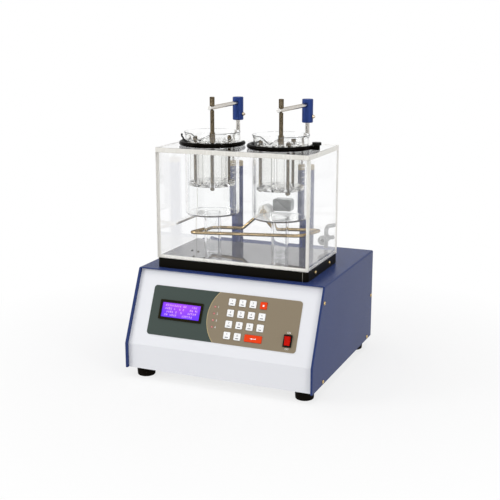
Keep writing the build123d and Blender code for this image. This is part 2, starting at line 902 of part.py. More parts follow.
def hanger_rod(side):
    """Head on the arm, neck in its slot, rod, boss on the upper plate, stud and nut below it."""
    neck_bottom = arm_z - arm_diameter / 2 - hanger_neck_play
    boss_top = rack_top_z + hanger_boss_height
    head = upright(hanger_head_diameter / 2, arm_seat_z, arm_seat_z + hanger_head_height)
    head = chamfer(head.edges().sort_by(Axis.Z)[-1], hanger_head_edge)
    rod = head + upright(hanger_neck_diameter / 2, neck_bottom, arm_seat_z)
    rod += upright(hanger_diameter / 2, boss_top, neck_bottom)
    rod += upright(hanger_boss_diameter / 2, rack_top_z, boss_top)
    rod += upright(hanger_stud_diameter / 2, upper_plate_z - hanger_nut_height, rack_top_z)
    rod += hexagon(hanger_nut_flats, upper_plate_z - hanger_nut_height, upper_plate_z)
    return at_rack(side) * rod


def rack_plates(side):
    """Two clear discs, each bored and counterbored for six tubes and drilled for three rods."""
    plates = []
    for bottom, seat in ((rack_bottom_z, tube_bottom_z), (upper_plate_z, upper_plate_z + tube_seat_depth)):
        disc = upright(rack_diameter / 2, bottom, bottom + rack_plate)
        for x, y in tube_places():
            disc -= upright(tube_bore / 2, bottom - overrun, bottom + overrun, x, y)
            seat_radius = tube_bore / 2 + tube_wall + tube_seat_clearance
            if bottom == rack_bottom_z:
                disc -= upright(seat_radius, seat, bottom + overrun, x, y)
            else:
                disc -= upright(seat_radius, bottom - overrun, seat, x, y)
        for x, y in rod_places():
            disc -= upright(rod_diameter / 2 + rod_hole_clearance, bottom - overrun, bottom + overrun, x, y)
        if bottom == upper_plate_z:
            disc -= upright(hanger_stud_diameter / 2 + rod_hole_clearance, bottom - overrun, bottom + overrun)
        plates.append(at_rack(side) * disc)
    return Compound(children=plates)


def glass_tubes(side):
    outer = tube_bore / 2 + tube_wall
    tubes = []
    for x, y in tube_places():
        tube = upright(outer, tube_bottom_z, tube_bottom_z + tube_length, x, y)
        tube -= upright(tube_bore / 2, tube_bottom_z - overrun, tube_bottom_z + tube_length + overrun, x, y)
        tubes.append(at_rack(side) * tube)
    return Compound(children=tubes)


def tie_rods(side):
    rods = []
    bottom_nut_top = rack_bottom_z - net_thickness
    low = bottom_nut_top - rod_nut_height - rod_thread_reach
    high = rack_top_z + rod_nut_height + rod_thread_reach
    for x, y in rod_places():
        rod = upright(rod_diameter / 2, low, high)
        rod += hexagon(rod_nut_flats, rack_top_z, rack_top_z + rod_nut_height)
        rod += hexagon(rod_nut_flats, bottom_nut_top - rod_nut_height, bottom_nut_top)
        rods.append(at_rack(side) * Pos(x, y, 0) * rod)
    return Compound(children=rods)


def wire_net(side):
    """The wire cloth under the lower plate, open below each tube, as one holed face."""
    face = Circle(net_radius)
    for x, y in rod_places():
        face -= Pos(x, y) * Circle(rod_diameter / 2 + rod_hole_clearance)
    reach = tube_bore / 2 - net_edge
    steps = range(-ceil(reach / net_pitch), ceil(reach / net_pitch) + 1)
    shifts = [(i * net_pitch, j * net_pitch) for i in steps for j in steps]
    half = net_aperture / 2
    inside = [(i, j) for i, j in shifts if hypot(abs(i) + half, abs(j) + half) < reach]
    aperture = Rectangle(net_aperture, net_aperture)
    face -= [Pos(x + i, y + j) * aperture for x, y in tube_places() for i, j in inside]
    sheet = extrude(face, amount=net_thickness)
    return at_rack(side) * Pos(0, 0, rack_bottom_z - net_thickness) * sheet


# Water bath
base_corner = 6.5
base_sheet = 1.5
seam_setback = 10.0
seam_width = 0.7
seam_depth = 0.5
lid_hole_clearance = 1.5
tank_edge = 0.6

heater_flange_x = -3.5
heater_flange_rise = 64.3
heater_flange_diameter = 34.0
heater_flange_thickness = 5.0
heater_neck_diameter = 20.0
heater_cap_diameter = 32.0
heater_cap_depth = 22.0
heater_cap_round = 4.0
heater_box_left = 16.0
heater_box_width = 41.0
heater_box_depth = 20.0
heater_box_height = 24.0
heater_box_rise = 70.3
heater_box_corner = 5.0
heater_tube_diameter = 6.5
heater_left_setback = 46.5
heater_right_setback = 32.5
heater_front_setback = 50.5
heater_back_gap = 12.5
heater_middle_rise = 39.3
heater_side_rise = 12.0
heater_front_rise = 9.0
heater_bend = 14.0
heater_leg_bend = 9.0
heater_leg_spread = 6.0
heater_leg_drop = 4.0
heater_left_foot = -41.0
heater_right_foot = 26.0

probe_setback = 10.5
probe_rise = 49.8
probe_diameter = 4.0
probe_reach = 100.0
probe_gland_diameter = 11.0
probe_gland_length = 8.0
probe_tail = 12.0

drain_setback = 31.0
drain_rise = 18.7
drain_nut_diameter = 19.0
drain_nut_thickness = 5.0
drain_bore = 7.0
drain_spigot_diameter = 11.5
drain_body_diameter = 14.0
drain_body_length = 22.0
drain_pipe_diameter = 8.0
drain_pipe_rise = 24.0
drain_pipe_reach = 25.0
drain_pipe_turn = 60.0
drain_tap_diameter = 8.0
drain_tap_reach = 19.0
drain_foot_drop = 19.0

heater_flange_z = tank_inner_z + heater_flange_rise
heater_box_bottom_z = tank_inner_z + heater_box_rise
heater_middle_z = tank_inner_z + heater_middle_rise
probe_z = tank_inner_z + probe_rise
drain_z = tank_inner_z + drain_rise
tank_left = tank_middle_x - tank_width / 2
tank_right = tank_middle_x + tank_width / 2
tank_front = tank_middle_y - tank_depth / 2
back_outer_y = tank_middle_y + tank_depth / 2
back_inner_y = back_outer_y - tank_wall
heater_left = tank_left + heater_left_setback
heater_right = tank_right - heater_right_setback
heater_front = tank_front + heater_front_setback
heater_back = back_inner_y - heater_back_gap
probe_x = tank_left + probe_setback
drain_x = tank_right - drain_setback


def tank_block(inset, bottom, top, corner):
    """A slab with the tank's outline, set back all round."""
    outline = RectangleRounded(tank_width - 2 * inset, tank_depth - 2 * inset, corner)
    return Pos(tank_middle_x, tank_middle_y, bottom) * extrude(outline, amount=top - bottom)


def tank_base():
    """The black folded frame under the bath, with its butt seam at the front."""
    base = tank_block(0, top_z, tank_floor_z, base_corner)
    base -= tank_block(base_sheet, top_z - overrun, tank_floor_z - base_sheet, base_corner - base_sheet)
    seam_x = tank_right - seam_setback
    base -= block(
        (seam_x - seam_width / 2, tank_front - overrun, top_z - overrun),
        (seam_x + seam_width / 2, tank_front + seam_depth, tank_floor_z + overrun),
    )
    for hole in screw_holes(base_screw_places(), tank_right - overrun, tank_right + overrun):
        base -= hole
    return base


def tank():
    """Clear bonded walls and floor, with holes in the back wall for heater, probe and drain."""
    walls = block((tank_left, tank_front, tank_floor_z), (tank_right, back_outer_y, lid_z))
    inner = block(
        (tank_left + tank_wall, tank_front + tank_wall, tank_inner_z),
        (tank_right - tank_wall, back_inner_y, lid_z + overrun),
    )
    walls = chamfer(walls.edges().filter_by(Axis.Z), tank_edge)
    walls -= inner
    for radius, x, z in (
        (heater_neck_diameter / 2 + hole_clearance, heater_flange_x, heater_flange_z),
        (probe_diameter / 2 + hole_clearance, probe_x, probe_z),
        (drain_spigot_diameter / 2 + hole_clearance, drain_x, drain_z),
    ):
        walls -= lengthwise(radius, back_inner_y - tank_wall, back_outer_y + tank_wall, x, z)
    return walls


def tank_lid():
    lid = block((tank_left, tank_front, lid_z), (tank_right, back_outer_y, lid_top_z))
    lid = chamfer(lid.edges(), tank_edge)
    hole_radius = beaker_diameter / 2 + lid_hole_clearance
    for x in station_x:
        lid -= upright(hole_radius, lid_z - overrun, lid_top_z + overrun, x, station_y)
    return lid


def heater_level(x, y):
    """Height of the slightly tilted loop: it climbs to the right and to the front."""
    across = (x - (heater_left + heater_right) / 2) / (heater_right - heater_left)
    along = ((heater_front + heater_back) / 2 - y) / (heater_back - heater_front)
    return heater_middle_z + heater_side_rise * across + heater_front_rise * along


def heater():
    """Immersion heater: a bent tube, its flange on the back wall, and the terminal head outside."""
    leg_z = heater_flange_z - heater_leg_drop
    left_leg = heater_flange_x - heater_leg_spread
    right_leg = heater_flange_x + heater_leg_spread
    face = back_inner_y - heater_flange_thickness
    points = [(left_leg, face, leg_z), (left_leg, heater_back, leg_z)]
    for x, y in (
        (heater_left_foot, heater_back),
        (heater_left, heater_back),
        (heater_left, heater_front),
        (heater_right, heater_front),
        (heater_right, heater_back),
        (heater_right_foot, heater_back),
    ):
        points.append((x, y, heater_level(x, y)))
    points += [(right_leg, heater_back, leg_z), (right_leg, face, leg_z)]
    short = heater_tube_diameter / 2
    bends = [short, heater_leg_bend] + [heater_bend] * 4 + [heater_leg_bend, short]
    path = FilletPolyline(*points, radius=bends)
    start = Plane(origin=points[0], z_dir=(0, -1, 0))
    tube = sweep(start * Circle(heater_tube_diameter / 2), path=path)
    x, z = heater_flange_x, heater_flange_z
    flange = lengthwise(heater_flange_diameter / 2, face, back_inner_y, x, z)
    neck = lengthwise(heater_neck_diameter / 2, back_inner_y, back_outer_y, x, z)
    cap = lengthwise(heater_cap_diameter / 2, back_outer_y, back_outer_y + heater_cap_depth, x, z)
    cap = fillet(cap.edges().sort_by(Axis.Y)[-1], heater_cap_round)
    box_right = heater_box_left + heater_box_width
    box_back = back_outer_y + heater_box_depth
    box_top_z = heater_box_bottom_z + heater_box_height
    box = block((heater_box_left, back_outer_y, heater_box_bottom_z), (box_right, box_back, box_top_z))
    box = fillet(box.edges().filter_by(Axis.Y), heater_box_corner)
    return Compound(children=[tube + flange + neck + cap, box])


def temperature_probe():
    """A thin rod along the left wall, held by a gland in the back wall."""
    gland_back = back_outer_y + probe_gland_length
    front = back_inner_y - probe_reach
    rod = lengthwise(probe_diameter / 2, front, gland_back + probe_tail, probe_x, probe_z)
    rod = chamfer(rod.edges().sort_by(Axis.Y)[0], probe_diameter / 4)
    return rod + lengthwise(probe_gland_diameter / 2, back_outer_y, gland_back, probe_x, probe_z)


def drain_fitting():
    """Round nut inside, spigot through the wall, and outside an elbow, a tap and a drain leg."""
    x, z = drain_x, drain_z
    end = back_outer_y + drain_body_length
    body = lengthwise(drain_nut_diameter / 2, back_inner_y - drain_nut_thickness, back_inner_y, x, z)
    body += lengthwise(drain_spigot_diameter / 2, back_inner_y, back_outer_y, x, z)
    body += lengthwise(drain_body_diameter / 2, back_outer_y, end, x, z)
    pipe_y = end - drain_body_diameter / 2
    turn = radians(drain_pipe_turn)
    corner = (x, pipe_y, z + drain_pipe_rise)
    mouth = (
        x + drain_pipe_reach * cos(turn),
        pipe_y + drain_pipe_reach * sin(turn),
        z + drain_pipe_rise,
    )
    path = FilletPolyline((x, pipe_y, z), corner, mouth, radius=drain_pipe_diameter)
    body += sweep(Pos(x, pipe_y, z) * Circle(drain_pipe_diameter / 2), path=path)
    tap = crosswise(drain_tap_diameter / 2, 0, drain_tap_reach, 0, 0)
    body += Pos(x, pipe_y, z) * Rot(0, 0, drain_pipe_turn) * tap
    body += upright(drain_pipe_diameter / 2, z - drain_foot_drop, z, x, pipe_y)
    body -= lengthwise(drain_bore / 2, back_inner_y - overrun, pipe_y, x, z)
    return body


# Beakers, their supports and their clamps
beaker_foot_radius = 5.0
beaker_lip_reach = 3.0
beaker_lip_height = 6.0
spout_radius = 11.0
spout_depth = 20.0
spout_offset = 49.0
spout_start = 50.5
spout_droop = 45.0
support_wall = 3.0
clamp_section = 8.6
clamp_radius = 60.0
clamp_span = 214.0
clamp_middle_angle = 270.0
clamp_boss_diameter = 11.6
clamp_boss_height = 8.9
clamp_boss_radius = 70.8
clamp_bridge = 6.0
knob_diameter = 17.6
knob_height = 5.2
knob_lobes = 6
knob_lobe_diameter = 6.0
knob_stud_diameter = 4.0
bolt_angle = 166.0
bolt_flats = 8.5
bolt_height = 4.6
bolt_shank_diameter = 4.0
lever_angle = 186.0
lever_diameter = 3.2
lever_stud_length = 5.0
lever_neck = 2.6
lever_lean = 3.0
lever_bend = 2.0
lever_height = 9.0
lever_ball_diameter = 4.2


def beakers():
    """Low-form beakers: thin wall, rounded foot, flared lip and a drooping spout to the front."""
    outer = beaker_diameter / 2
    inner = outer - beaker_wall
    top = beaker_height
    lip = outer + beaker_lip_reach
    inner_foot = beaker_foot_radius - beaker_wall
    start = top - beaker_lip_height
    edge = beaker_wall / 2
    outline = [
        Line((0, 0), (outer - beaker_foot_radius, 0)),
        RadiusArc((outer - beaker_foot_radius, 0), (outer, beaker_foot_radius), -beaker_foot_radius),
        Line((outer, beaker_foot_radius), (outer, start)),
        Line((outer, start), (lip, top - edge)),
        Line((lip, top - edge), (lip - edge, top)),
        Line((lip - edge, top), (inner, start)),
        Line((inner, start), (inner, beaker_foot_radius)),
        RadiusArc((inner, beaker_foot_radius), (inner - inner_foot, beaker_wall), inner_foot),
        Line((inner - inner_foot, beaker_wall), (0, beaker_wall)),
        Line((0, beaker_wall), (0, 0)),
    ]
    glass = revolve(Plane.XZ * make_face(Curve() + outline), Axis.Z)
    from_tip = (Align.CENTER, Align.CENTER, Align.MIN)
    low = Pos(0, -spout_offset, top - spout_depth)
    outside = low * Cone(0, spout_radius + beaker_wall, spout_depth, align=from_tip)
    hollow = low * Pos(0, 0, beaker_wall) * Cone(0, spout_radius, spout_depth, align=from_tip)
    bowl = upright(inner, beaker_foot_radius, top + overrun)
    glass = glass + (outside - bowl) - hollow
    above = block((-outer, -outer, 0), (outer, 0, outer))
    glass -= Pos(0, -spout_start, top) * Rot(spout_droop, 0, 0) * above
    return Compound(children=[Pos(x, station_y, beaker_z) * glass for x in station_x])


def beaker_supports():
    stands = []
    for x in station_x:
        inner = support_diameter / 2 - support_wall
        stand = upright(support_diameter / 2, tank_inner_z, beaker_z, x, station_y)
        stand -= upright(inner, tank_inner_z - overrun, beaker_z + overrun, x, station_y)
        stands.append(stand)
    return Compound(children=stands)


def ring_place(side, angle):
    """A point of a clamp's middle line, by its angle from +X."""
    turn = radians(angle)
    return station_x[side] + clamp_radius * cos(turn), station_y + clamp_radius * sin(turn)


def clamp_ring(side):
    """A black C of round section, open to the back, lying on the lid."""
    radius = clamp_section / 2
    start = clamp_middle_angle - clamp_span / 2
    path = CenterArc((0, 0), clamp_radius, start, clamp_span)
    profile = Plane(origin=path @ 0, z_dir=path % 0) * Circle(radius)
    ring = sweep(profile, path=path)
    for end in (path @ 0, path @ 1):
        ring += Pos(end.X, end.Y, 0) * Sphere(radius)
    return Pos(station_x[side], station_y, lid_top_z + radius) * ring


def beaker_clamps():
    """The left ring has a bolt at its end and a bore for the lever, the right one the knob's boss."""
    ring_top = lid_top_z + clamp_section
    left = clamp_ring(0)
    bolt_x, bolt_y = ring_place(0, bolt_angle)
    left += upright(bolt_shank_diameter / 2, lid_top_z + clamp_section / 2, ring_top, bolt_x, bolt_y)
    left += Pos(bolt_x, bolt_y, 0) * hexagon(bolt_flats, ring_top, ring_top + bolt_height)
    lever_x, lever_y = ring_place(0, lever_angle)
    bore = lever_diameter / 2 + running_clearance
    left -= upright(bore, ring_top - lever_stud_length, ring_top + bolt_height, lever_x, lever_y)
    right = clamp_ring(1)
    knob_x = station_x[1] + clamp_boss_radius
    seat = lid_top_z + clamp_boss_height
    right += upright(clamp_boss_diameter / 2, lid_top_z, seat, knob_x, station_y)
    right += block(
        (station_x[1] + clamp_radius, station_y - clamp_bridge / 2, lid_top_z),
        (knob_x, station_y + clamp_bridge / 2, lid_top_z + clamp_bridge),
    )
    stud = knob_stud_diameter / 2 + running_clearance
    right -= upright(stud, lid_top_z, seat + overrun, knob_x, station_y)
    return Compound(children=[left, right])


def clamp_knob():
    """A star knob with its stud in the right clamp's boss."""
    seat = lid_top_z + clamp_boss_height
    knob = upright(knob_diameter / 2 - knob_lobe_diameter / 4, 0, knob_height)
    reach = (knob_diameter - knob_lobe_diameter) / 2
    for i in range(knob_lobes):
        angle = 2 * pi * i / knob_lobes
        knob += upright(knob_lobe_diameter / 2, 0, knob_height, reach * cos(angle), reach * sin(angle))
    knob += upright(knob_stud_diameter / 2, running_clearance - clamp_boss_height, 0)
    return Pos(station_x[1] + clamp_boss_radius, station_y, seat) * knob


def clamp_lever():
    """A short S-shaped lever that turns on its own stud in the left clamp."""
    x, y = ring_place(0, lever_angle)
    low = clamp_section - lever_stud_length + running_clearance
    path = FilletPolyline(
        (0, 0, low),
        (0, 0, clamp_section + lever_neck),
        (-lever_lean, 0, clamp_section + lever_neck + lever_lean),
        (-lever_lean, 0, clamp_section + lever_height),
        radius=lever_bend,
    )
    lever = sweep(Pos(0, 0, low) * Circle(lever_diameter / 2), path=path)
    lever += Pos(-lever_lean, 0, clamp_section + lever_height) * Sphere(lever_ball_diameter / 2)
    return Pos(x, y, lid_top_z) * lever


# Every piece under its own name
pieces = {
    "cover": cover(),
    "front_panel": front_panel(),
    "base_plate": base_plate(),
    "rear_panel": rear_panel(),
    "case_screws": case_screws(),
    "feet": feet(),
    "overlay": overlay(),
    "screen_bezel": screen_bezel(),
    "screen": screen(),
    "control_board": control_board(),
    "status_lamps": status_lamps(),
    "switch_body": switch_body(),
    "switch_rocker": switch_rocker(),
    "power_inlet": power_inlet(),
    "gear_motor": gear_motor(),
    "heart_cam": heart_cam(),
    "crosshead": crosshead(),
    "cam_roller": cam_roller(),
    "lift_shafts": lift_shafts(),
    "guide_columns": guide_columns(),
    "guide_bushes": guide_bushes(),
    "arm_hubs": arm_hubs(),
    "hub_screws": hub_screws(),
    "arms": arms(),
    "tank_base": tank_base(),
    "tank": tank(),
    "tank_lid": tank_lid(),
    "heater": heater(),
    "temperature_probe": temperature_probe(),
    "drain_fitting": drain_fitting(),
    "beakers": beakers(),
    "beaker_supports": beaker_supports(),
    "beaker_clamps": beaker_clamps(),
    "clamp_knob": clamp_knob(),
    "clamp_lever": clamp_lever(),
}
for name, x, down, width in key_places():
    pieces[name] = key(x, down, width)
for side, word in enumerate(("left", "right")):
    pieces[f"hanger_rod_{word}"] = hanger_rod(side)
    pieces[f"rack_plates_{word}"] = rack_plates(side)
    pieces[f"glass_tubes_{word}"] = glass_tubes(side)
    pieces[f"tie_rods_{word}"] = tie_rods(side)
    pieces[f"wire_net_{word}"] = wire_net(side)

os.makedirs("parts", exist_ok=True)
for name, shape in pieces.items():
    export_step(shape, f"parts/{name}.step")
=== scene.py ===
import bmesh
import bpy
import math
from mathutils import Matrix, Vector


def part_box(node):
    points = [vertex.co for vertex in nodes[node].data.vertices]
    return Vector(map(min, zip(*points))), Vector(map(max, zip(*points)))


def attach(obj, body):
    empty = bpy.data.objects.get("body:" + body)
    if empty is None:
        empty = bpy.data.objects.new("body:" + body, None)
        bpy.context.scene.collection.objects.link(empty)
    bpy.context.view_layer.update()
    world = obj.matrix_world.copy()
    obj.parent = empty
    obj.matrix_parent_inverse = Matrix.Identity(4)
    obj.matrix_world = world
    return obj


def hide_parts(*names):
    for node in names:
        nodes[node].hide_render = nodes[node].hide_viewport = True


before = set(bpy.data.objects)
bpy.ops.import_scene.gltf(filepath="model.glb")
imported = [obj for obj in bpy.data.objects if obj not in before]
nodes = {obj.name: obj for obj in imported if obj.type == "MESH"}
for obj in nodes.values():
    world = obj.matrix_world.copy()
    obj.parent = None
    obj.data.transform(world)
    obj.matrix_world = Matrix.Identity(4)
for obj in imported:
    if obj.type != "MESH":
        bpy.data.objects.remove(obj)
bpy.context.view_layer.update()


# Camera
# It stands about two metres off, to the right of the front and a little above,
# with a long lens, so that upright edges stay nearly parallel.
camera_turn = 0.398699
camera_rise = 0.229155
camera_place = (0.71647, -1.72279, 0.66487)
camera_lens = 69.712
camera_near = 0.05
camera_far = 60.0


def set_up(name, data):
    """Puts a camera, a lamp or a mesh into the scene as an object of its own."""
    made = bpy.data.objects.new(name, data)
    bpy.context.scene.collection.objects.link(made)
    return made


camera = set_up("camera", bpy.data.cameras.new("camera"))
camera.data.lens = camera_lens
camera.data.clip_start = camera_near
camera.data.clip_end = camera_far
camera_back = Vector((
    math.sin(camera_turn) * math.cos(camera_rise),
    -math.cos(camera_turn) * math.cos(camera_rise),
    math.sin(camera_rise),
))
camera.location = camera_place
camera.rotation_euler = (-camera_back).to_track_quat("-Z", "Y").to_euler()
bpy.context.scene.camera = camera
bpy.context.scene.view_settings.view_transform = "Standard"


# Floor and light
# A white studio table under three soft lamps. The table and the room read as plain white
# to the camera and in reflections, and the table still takes the object's soft shadow.
floor_reach = 30.0
floor_white = (0.9, 0.9, 0.9)
floor_glow_share = 0.74
floor_fade_start = 0.3
floor_fade_end = 0.75
room_light = 0.5
lamps = [
    # name, place, target, width, height, watts
    ("lamp_left", (-2.3, -1.7, 1.25), (0, 0, 0.2), 1.0, 1.2, 28.0),
    ("lamp_right", (2.4, -1.4, 1.2), (0, 0, 0.2), 0.8, 1.2, 18.0),
    ("lamp_top", (0.2, -0.4, 2.6), (0, 0, 0.2), 1.3, 1.0, 16.0),
]


def operator(operation, swapped=False):
    """A method that adds the Math node for a sum on a channel."""

    def combined(self, other):
        first, second = (other, self) if swapped else (self, other)
        sockets = {0: first, 1: second}
        return self.network.add("ShaderNodeMath", {"operation": operation}, sockets)

    return combined


class Channel:
    """A socket of a node tree. Sums on channels add the Math nodes they need."""

    __add__ = operator("ADD")
    __sub__ = operator("SUBTRACT")
    __rsub__ = operator("SUBTRACT", swapped=True)
    __mul__ = operator("MULTIPLY")
    __truediv__ = operator("DIVIDE")
    __pow__ = operator("POWER")
    __mod__ = operator("MODULO")
    __gt__ = operator("GREATER_THAN")
    __lt__ = operator("LESS_THAN")
    most = operator("MAXIMUM")

    def __init__(self, network, socket):
        self.network = network
        self.socket = socket


class Network:
    """A node tree with one way to add a node: its type, its settings, then its sockets."""

    def __init__(self, tree):
        self.tree = tree

    def add(self, kind, settings=None, sockets=None, output=0):
        node = self.tree.nodes.new(kind)
        for name, value in (settings or {}).items():
            setattr(node, name, value)
        for name, value in (sockets or {}).items():
            self.join(value, node.inputs[name])
        return Channel(self, node.outputs[output])

    def join(self, value, socket):
        if isinstance(value, Channel):
            self.tree.links.new(value.socket, socket)
        elif isinstance(value, list):
            for channel in value:
                self.tree.links.new(channel.socket, socket)
        elif socket.type == "RGBA" and len(value) == 3:
            socket.default_value = (*value, 1.0)
        else:
            socket.default_value = value

    def one(self, operation, value):
        """A Math node with a single input."""
        return self.add("ShaderNodeMath", {"operation": operation}, {0: value})

    def vector(self, x=0.0, y=0.0, z=0.0):
        return self.add("ShaderNodeCombineXYZ", {}, {"X": x, "Y": y, "Z": z})

    def apart(self, vector):
        """The X, Y and Z of a vector."""
        split = self.add("ShaderNodeSeparateXYZ", {}, {"Vector": vector}).socket.node
        return [Channel(self, output) for output in split.outputs]

    def ray(self, kind):
        """1 for rays of this kind, else 0."""
        return self.add("ShaderNodeLightPath", {}, {}, kind)

    def seen_plainly(self):
        """1 for what the camera sees directly, by reflection or through glass, else 0."""
        mirrored_or_direct = self.ray("Is Camera Ray").most(self.ray("Is Glossy Ray"))
        return mirrored_or_direct.most(self.ray("Is Transmission Ray"))


class Finish(Network):
    """A material on the Principled shader, patterned by the piece's own coordinates."""

    # The Mix node's sockets for colours, which come after those for numbers and vectors.
    first_colour = 6
    second_colour = 7
    mixed_colour = 2

    def __init__(self, name, constants=None):
        self.material = bpy.data.materials.new(name)
        self.material.use_nodes = True
        super().__init__(self.material.node_tree)
        self.shader = self.tree.nodes["Principled BSDF"]
        self.output = self.tree.nodes["Material Output"]
        self.set(constants or {})

    def set(self, sockets):
        for name, value in sockets.items():
            self.join(value, self.shader.inputs[name])

    def place(self):
        return self.add("ShaderNodeTexCoord", {}, {}, "Object")

    def stretched(self, scale):
        return self.add("ShaderNodeMapping", {}, {"Vector": self.place(), "Scale": scale})

    def noise(self, scale, detail=2.0, vector=None):
        sockets = {"Vector": vector or self.place(), "Scale": scale, "Detail": detail}
        return self.add("ShaderNodeTexNoise", {}, sockets, "Fac")

    def ramp(self, factor, low, high):
        """Evenly from 0 at low to 1 at high, and flat beyond."""
        sockets = {"Value": factor, "From Min": low, "From Max": high}
        return self.add("ShaderNodeMapRange", {}, sockets)

    def blend(self, factor, first, second):
        sockets = {"Factor": factor, self.first_colour: first, self.second_colour: second}
        return self.add("ShaderNodeMix", {"data_type": "RGBA"}, sockets, self.mixed_colour)

    def colour(self, pattern, dark, light):
        """Base colour from dark to light with the pattern."""
        self.set({"Base Color": self.blend(pattern, dark, light)})

    def roughen(self, pattern, least, spread):
        """Roughness that rises by spread from the least, with the pattern."""
        self.set({"Roughness": pattern * spread + least})

    def bump(self, height, strength, distance):
        sockets = {"Height": height, "Strength": strength, "Distance": distance}
        self.set({"Normal": self.add("ShaderNodeBump", {}, sockets)})

    def edge_on(self):
        """0 where the surface faces the eye, 1 where it is seen edge on."""
        return self.add("ShaderNodeLayerWeight", {}, {"Blend": 0.5}, "Facing")

    def solid(self):
        """What the Principled shader gives."""
        return Channel(self, self.shader.outputs[0])

    def show(self, share, first, second):
        """Shows a mix of two shaders: the first, and the second by its share."""
        mix = self.add("ShaderNodeMixShader", {}, {0: share, 1: first, 2: second})
        self.join(mix, self.output.inputs["Surface"])


floor_finish = Finish("white_table", {
    "Base Color": floor_white,
    "Roughness": 0.9,
    "Specular IOR Level": 0.1,
})
floor_place = {0: floor_finish.place()}
away = floor_finish.add("ShaderNodeVectorMath", {"operation": "LENGTH"}, floor_place, "Value")
faded = floor_finish.ramp(away, floor_fade_start, floor_fade_end)
glow_share = floor_finish.seen_plainly() * (faded * (1.0 - floor_glow_share) + floor_glow_share)
glow = floor_finish.add("ShaderNodeEmission", {}, {"Color": (1.0, 1.0, 1.0), "Strength": 1.0})
floor_finish.show(glow_share, floor_finish.solid(), glow)
floor_mesh = bpy.data.meshes.new("table")
floor_corners = [(-1, -1), (1, -1), (1, 1), (-1, 1)]
floor_mesh.from_pydata([(x * floor_reach, y * floor_reach, 0) for x, y in floor_corners], [], [(0, 1, 2, 3)])
floor_mesh.materials.append(floor_finish.material)
set_up("table", floor_mesh)

world = bpy.data.worlds.new("studio")
world.use_nodes = True
bpy.context.scene.world = world
room = Network(world.node_tree)
background = world.node_tree.nodes["Background"]
room.join(room.seen_plainly() * (1.0 - room_light) + room_light, background.inputs["Strength"])
room.join((1.0, 1.0, 1.0), background.inputs["Color"])

for name, place, target, width, height, watts in lamps:
    lamp = set_up(name, bpy.data.lights.new(name, "AREA"))
    lamp.data.shape = "RECTANGLE"
    lamp.data.size = width
    lamp.data.size_y = height
    lamp.data.energy = watts
    lamp.location = place
    lamp.rotation_euler = (Vector(target) - Vector(place)).to_track_quat("-Z", "Y").to_euler()


# Cabinet cover
# One sheet of steel folded into a U over the case, powder coated in navy blue,
# with a fine orange peel. Screws at its sides hold it to the folded front and back.
navy = (0.024, 0.042, 0.14)
navy_light = (0.034, 0.054, 0.17)
navy_gloss = 0.05
cloud_scale = 9.0
peel_scale = 700.0
peel_depth = 0.00012
peel_strength = 0.35
peel_dulling = 0.12


def dress(finish, *names):
    """Gives CAD pieces their finish."""
    for name in names:
        for slot in nodes[name].material_slots:
            slot.material = finish.material


def painted(name, dark, light, roughness, gloss):
    """Powder coat: a fine peel, and a tone that drifts a little across the sheet."""
    coat = Finish(name, {"Specular IOR Level": gloss})
    drift = coat.noise(cloud_scale, detail=3.0)
    peel = coat.noise(peel_scale, detail=2.0)
    coat.colour(drift, dark, light)
    coat.roughen(peel, least=roughness, spread=peel_dulling)
    coat.bump(peel, peel_strength, peel_depth)
    return coat


navy_paint = painted("navy_paint", navy, navy_light, roughness=0.2, gloss=navy_gloss)
dress(navy_paint, "cover")


# Folded front
# A white painted sheet: plumb strip at the foot, sloping control face above it,
# and flanges turned back inside the cover. The back panel is painted in the same white.
white = (0.79, 0.8, 0.84)
white_light = (0.82, 0.828, 0.86)
white_gloss = 0.3
white_paint = painted("white_paint", white, white_light, roughness=0.38, gloss=white_gloss)
dress(white_paint, "front_panel", "rear_panel")


# Bottom of the case
# Bent from zinc plated sheet and left bare; the spangle of the zinc shows as soft patches.
zinc_dark = (0.42, 0.43, 0.44)
zinc_light = (0.62, 0.63, 0.64)
spangle_scale = 130.0
plated_sheet = Finish("plated_sheet", {"Metallic": 0.85})
spangle = plated_sheet.add(
    "ShaderNodeTexVoronoi", {}, {"Vector": plated_sheet.place(), "Scale": spangle_scale}, "Color"
)
spangle_tone = plated_sheet.add("ShaderNodeSeparateColor", {}, {"Color": spangle}, "Red")
plated_sheet.colour(spangle_tone, zinc_dark, zinc_light)
plated_sheet.roughen(spangle_tone, least=0.38, spread=0.15)
plated_sheet.bump(plated_sheet.noise(peel_scale), strength=0.2, distance=peel_depth)
dress(plated_sheet, "base_plate")


# Case screws
# Round-headed machine screws, brass plated, with a cross recess pressed into each head.
# Four a side hold the cover to the case, and two hold the right side of the bath's frame.
brass_dark = (0.42, 0.28, 0.1)
brass_light = (0.78, 0.6, 0.3)
grain_scale = 220.0
grain_low = 0.24
grain_high = 0.76
grain_dulling = 0.12
grain_strength = 0.1
head_radius = 0.0035
head_height = 0.0022
head_steps = 28
dome_steps = 5
dome_foot_share = 0.3
dome_angle = 84
shank_radius = 0.0015
shank_length = 0.0075
recess_reach = 0.0021
recess_width = 0.0007
recess_depth = 0.0009
recess_turn = 1.1
crease = math.radians(32)
side_screw_drop = 0.03
side_screw_setback = 0.01
back_screw_setback = 0.008
back_screw_height = 0.09
low_screw_height = 0.0055
low_front_setback = 0.0585
low_back_setback = 0.03
frame_screw_spacing = 0.0816
frame_screw_shift = -0.0017


def metal(name, dark, light, roughness, grain=(1, 1, 1), scale=grain_scale, edge_shade=(1.0, 1.0, 1.0)):
    """Bare metal: grain stretches its noise along each axis; edge_shade is painted shade seen edge on."""
    made = Finish(name, {"Metallic": 1.0, "Specular Tint": edge_shade})
    lines = made.ramp(made.noise(scale, detail=3.0, vector=made.stretched(grain)), grain_low, grain_high)
    made.colour(lines, dark, light)
    made.roughen(lines, least=roughness, spread=grain_dulling)
    made.bump(lines, grain_strength, peel_depth)
    return made


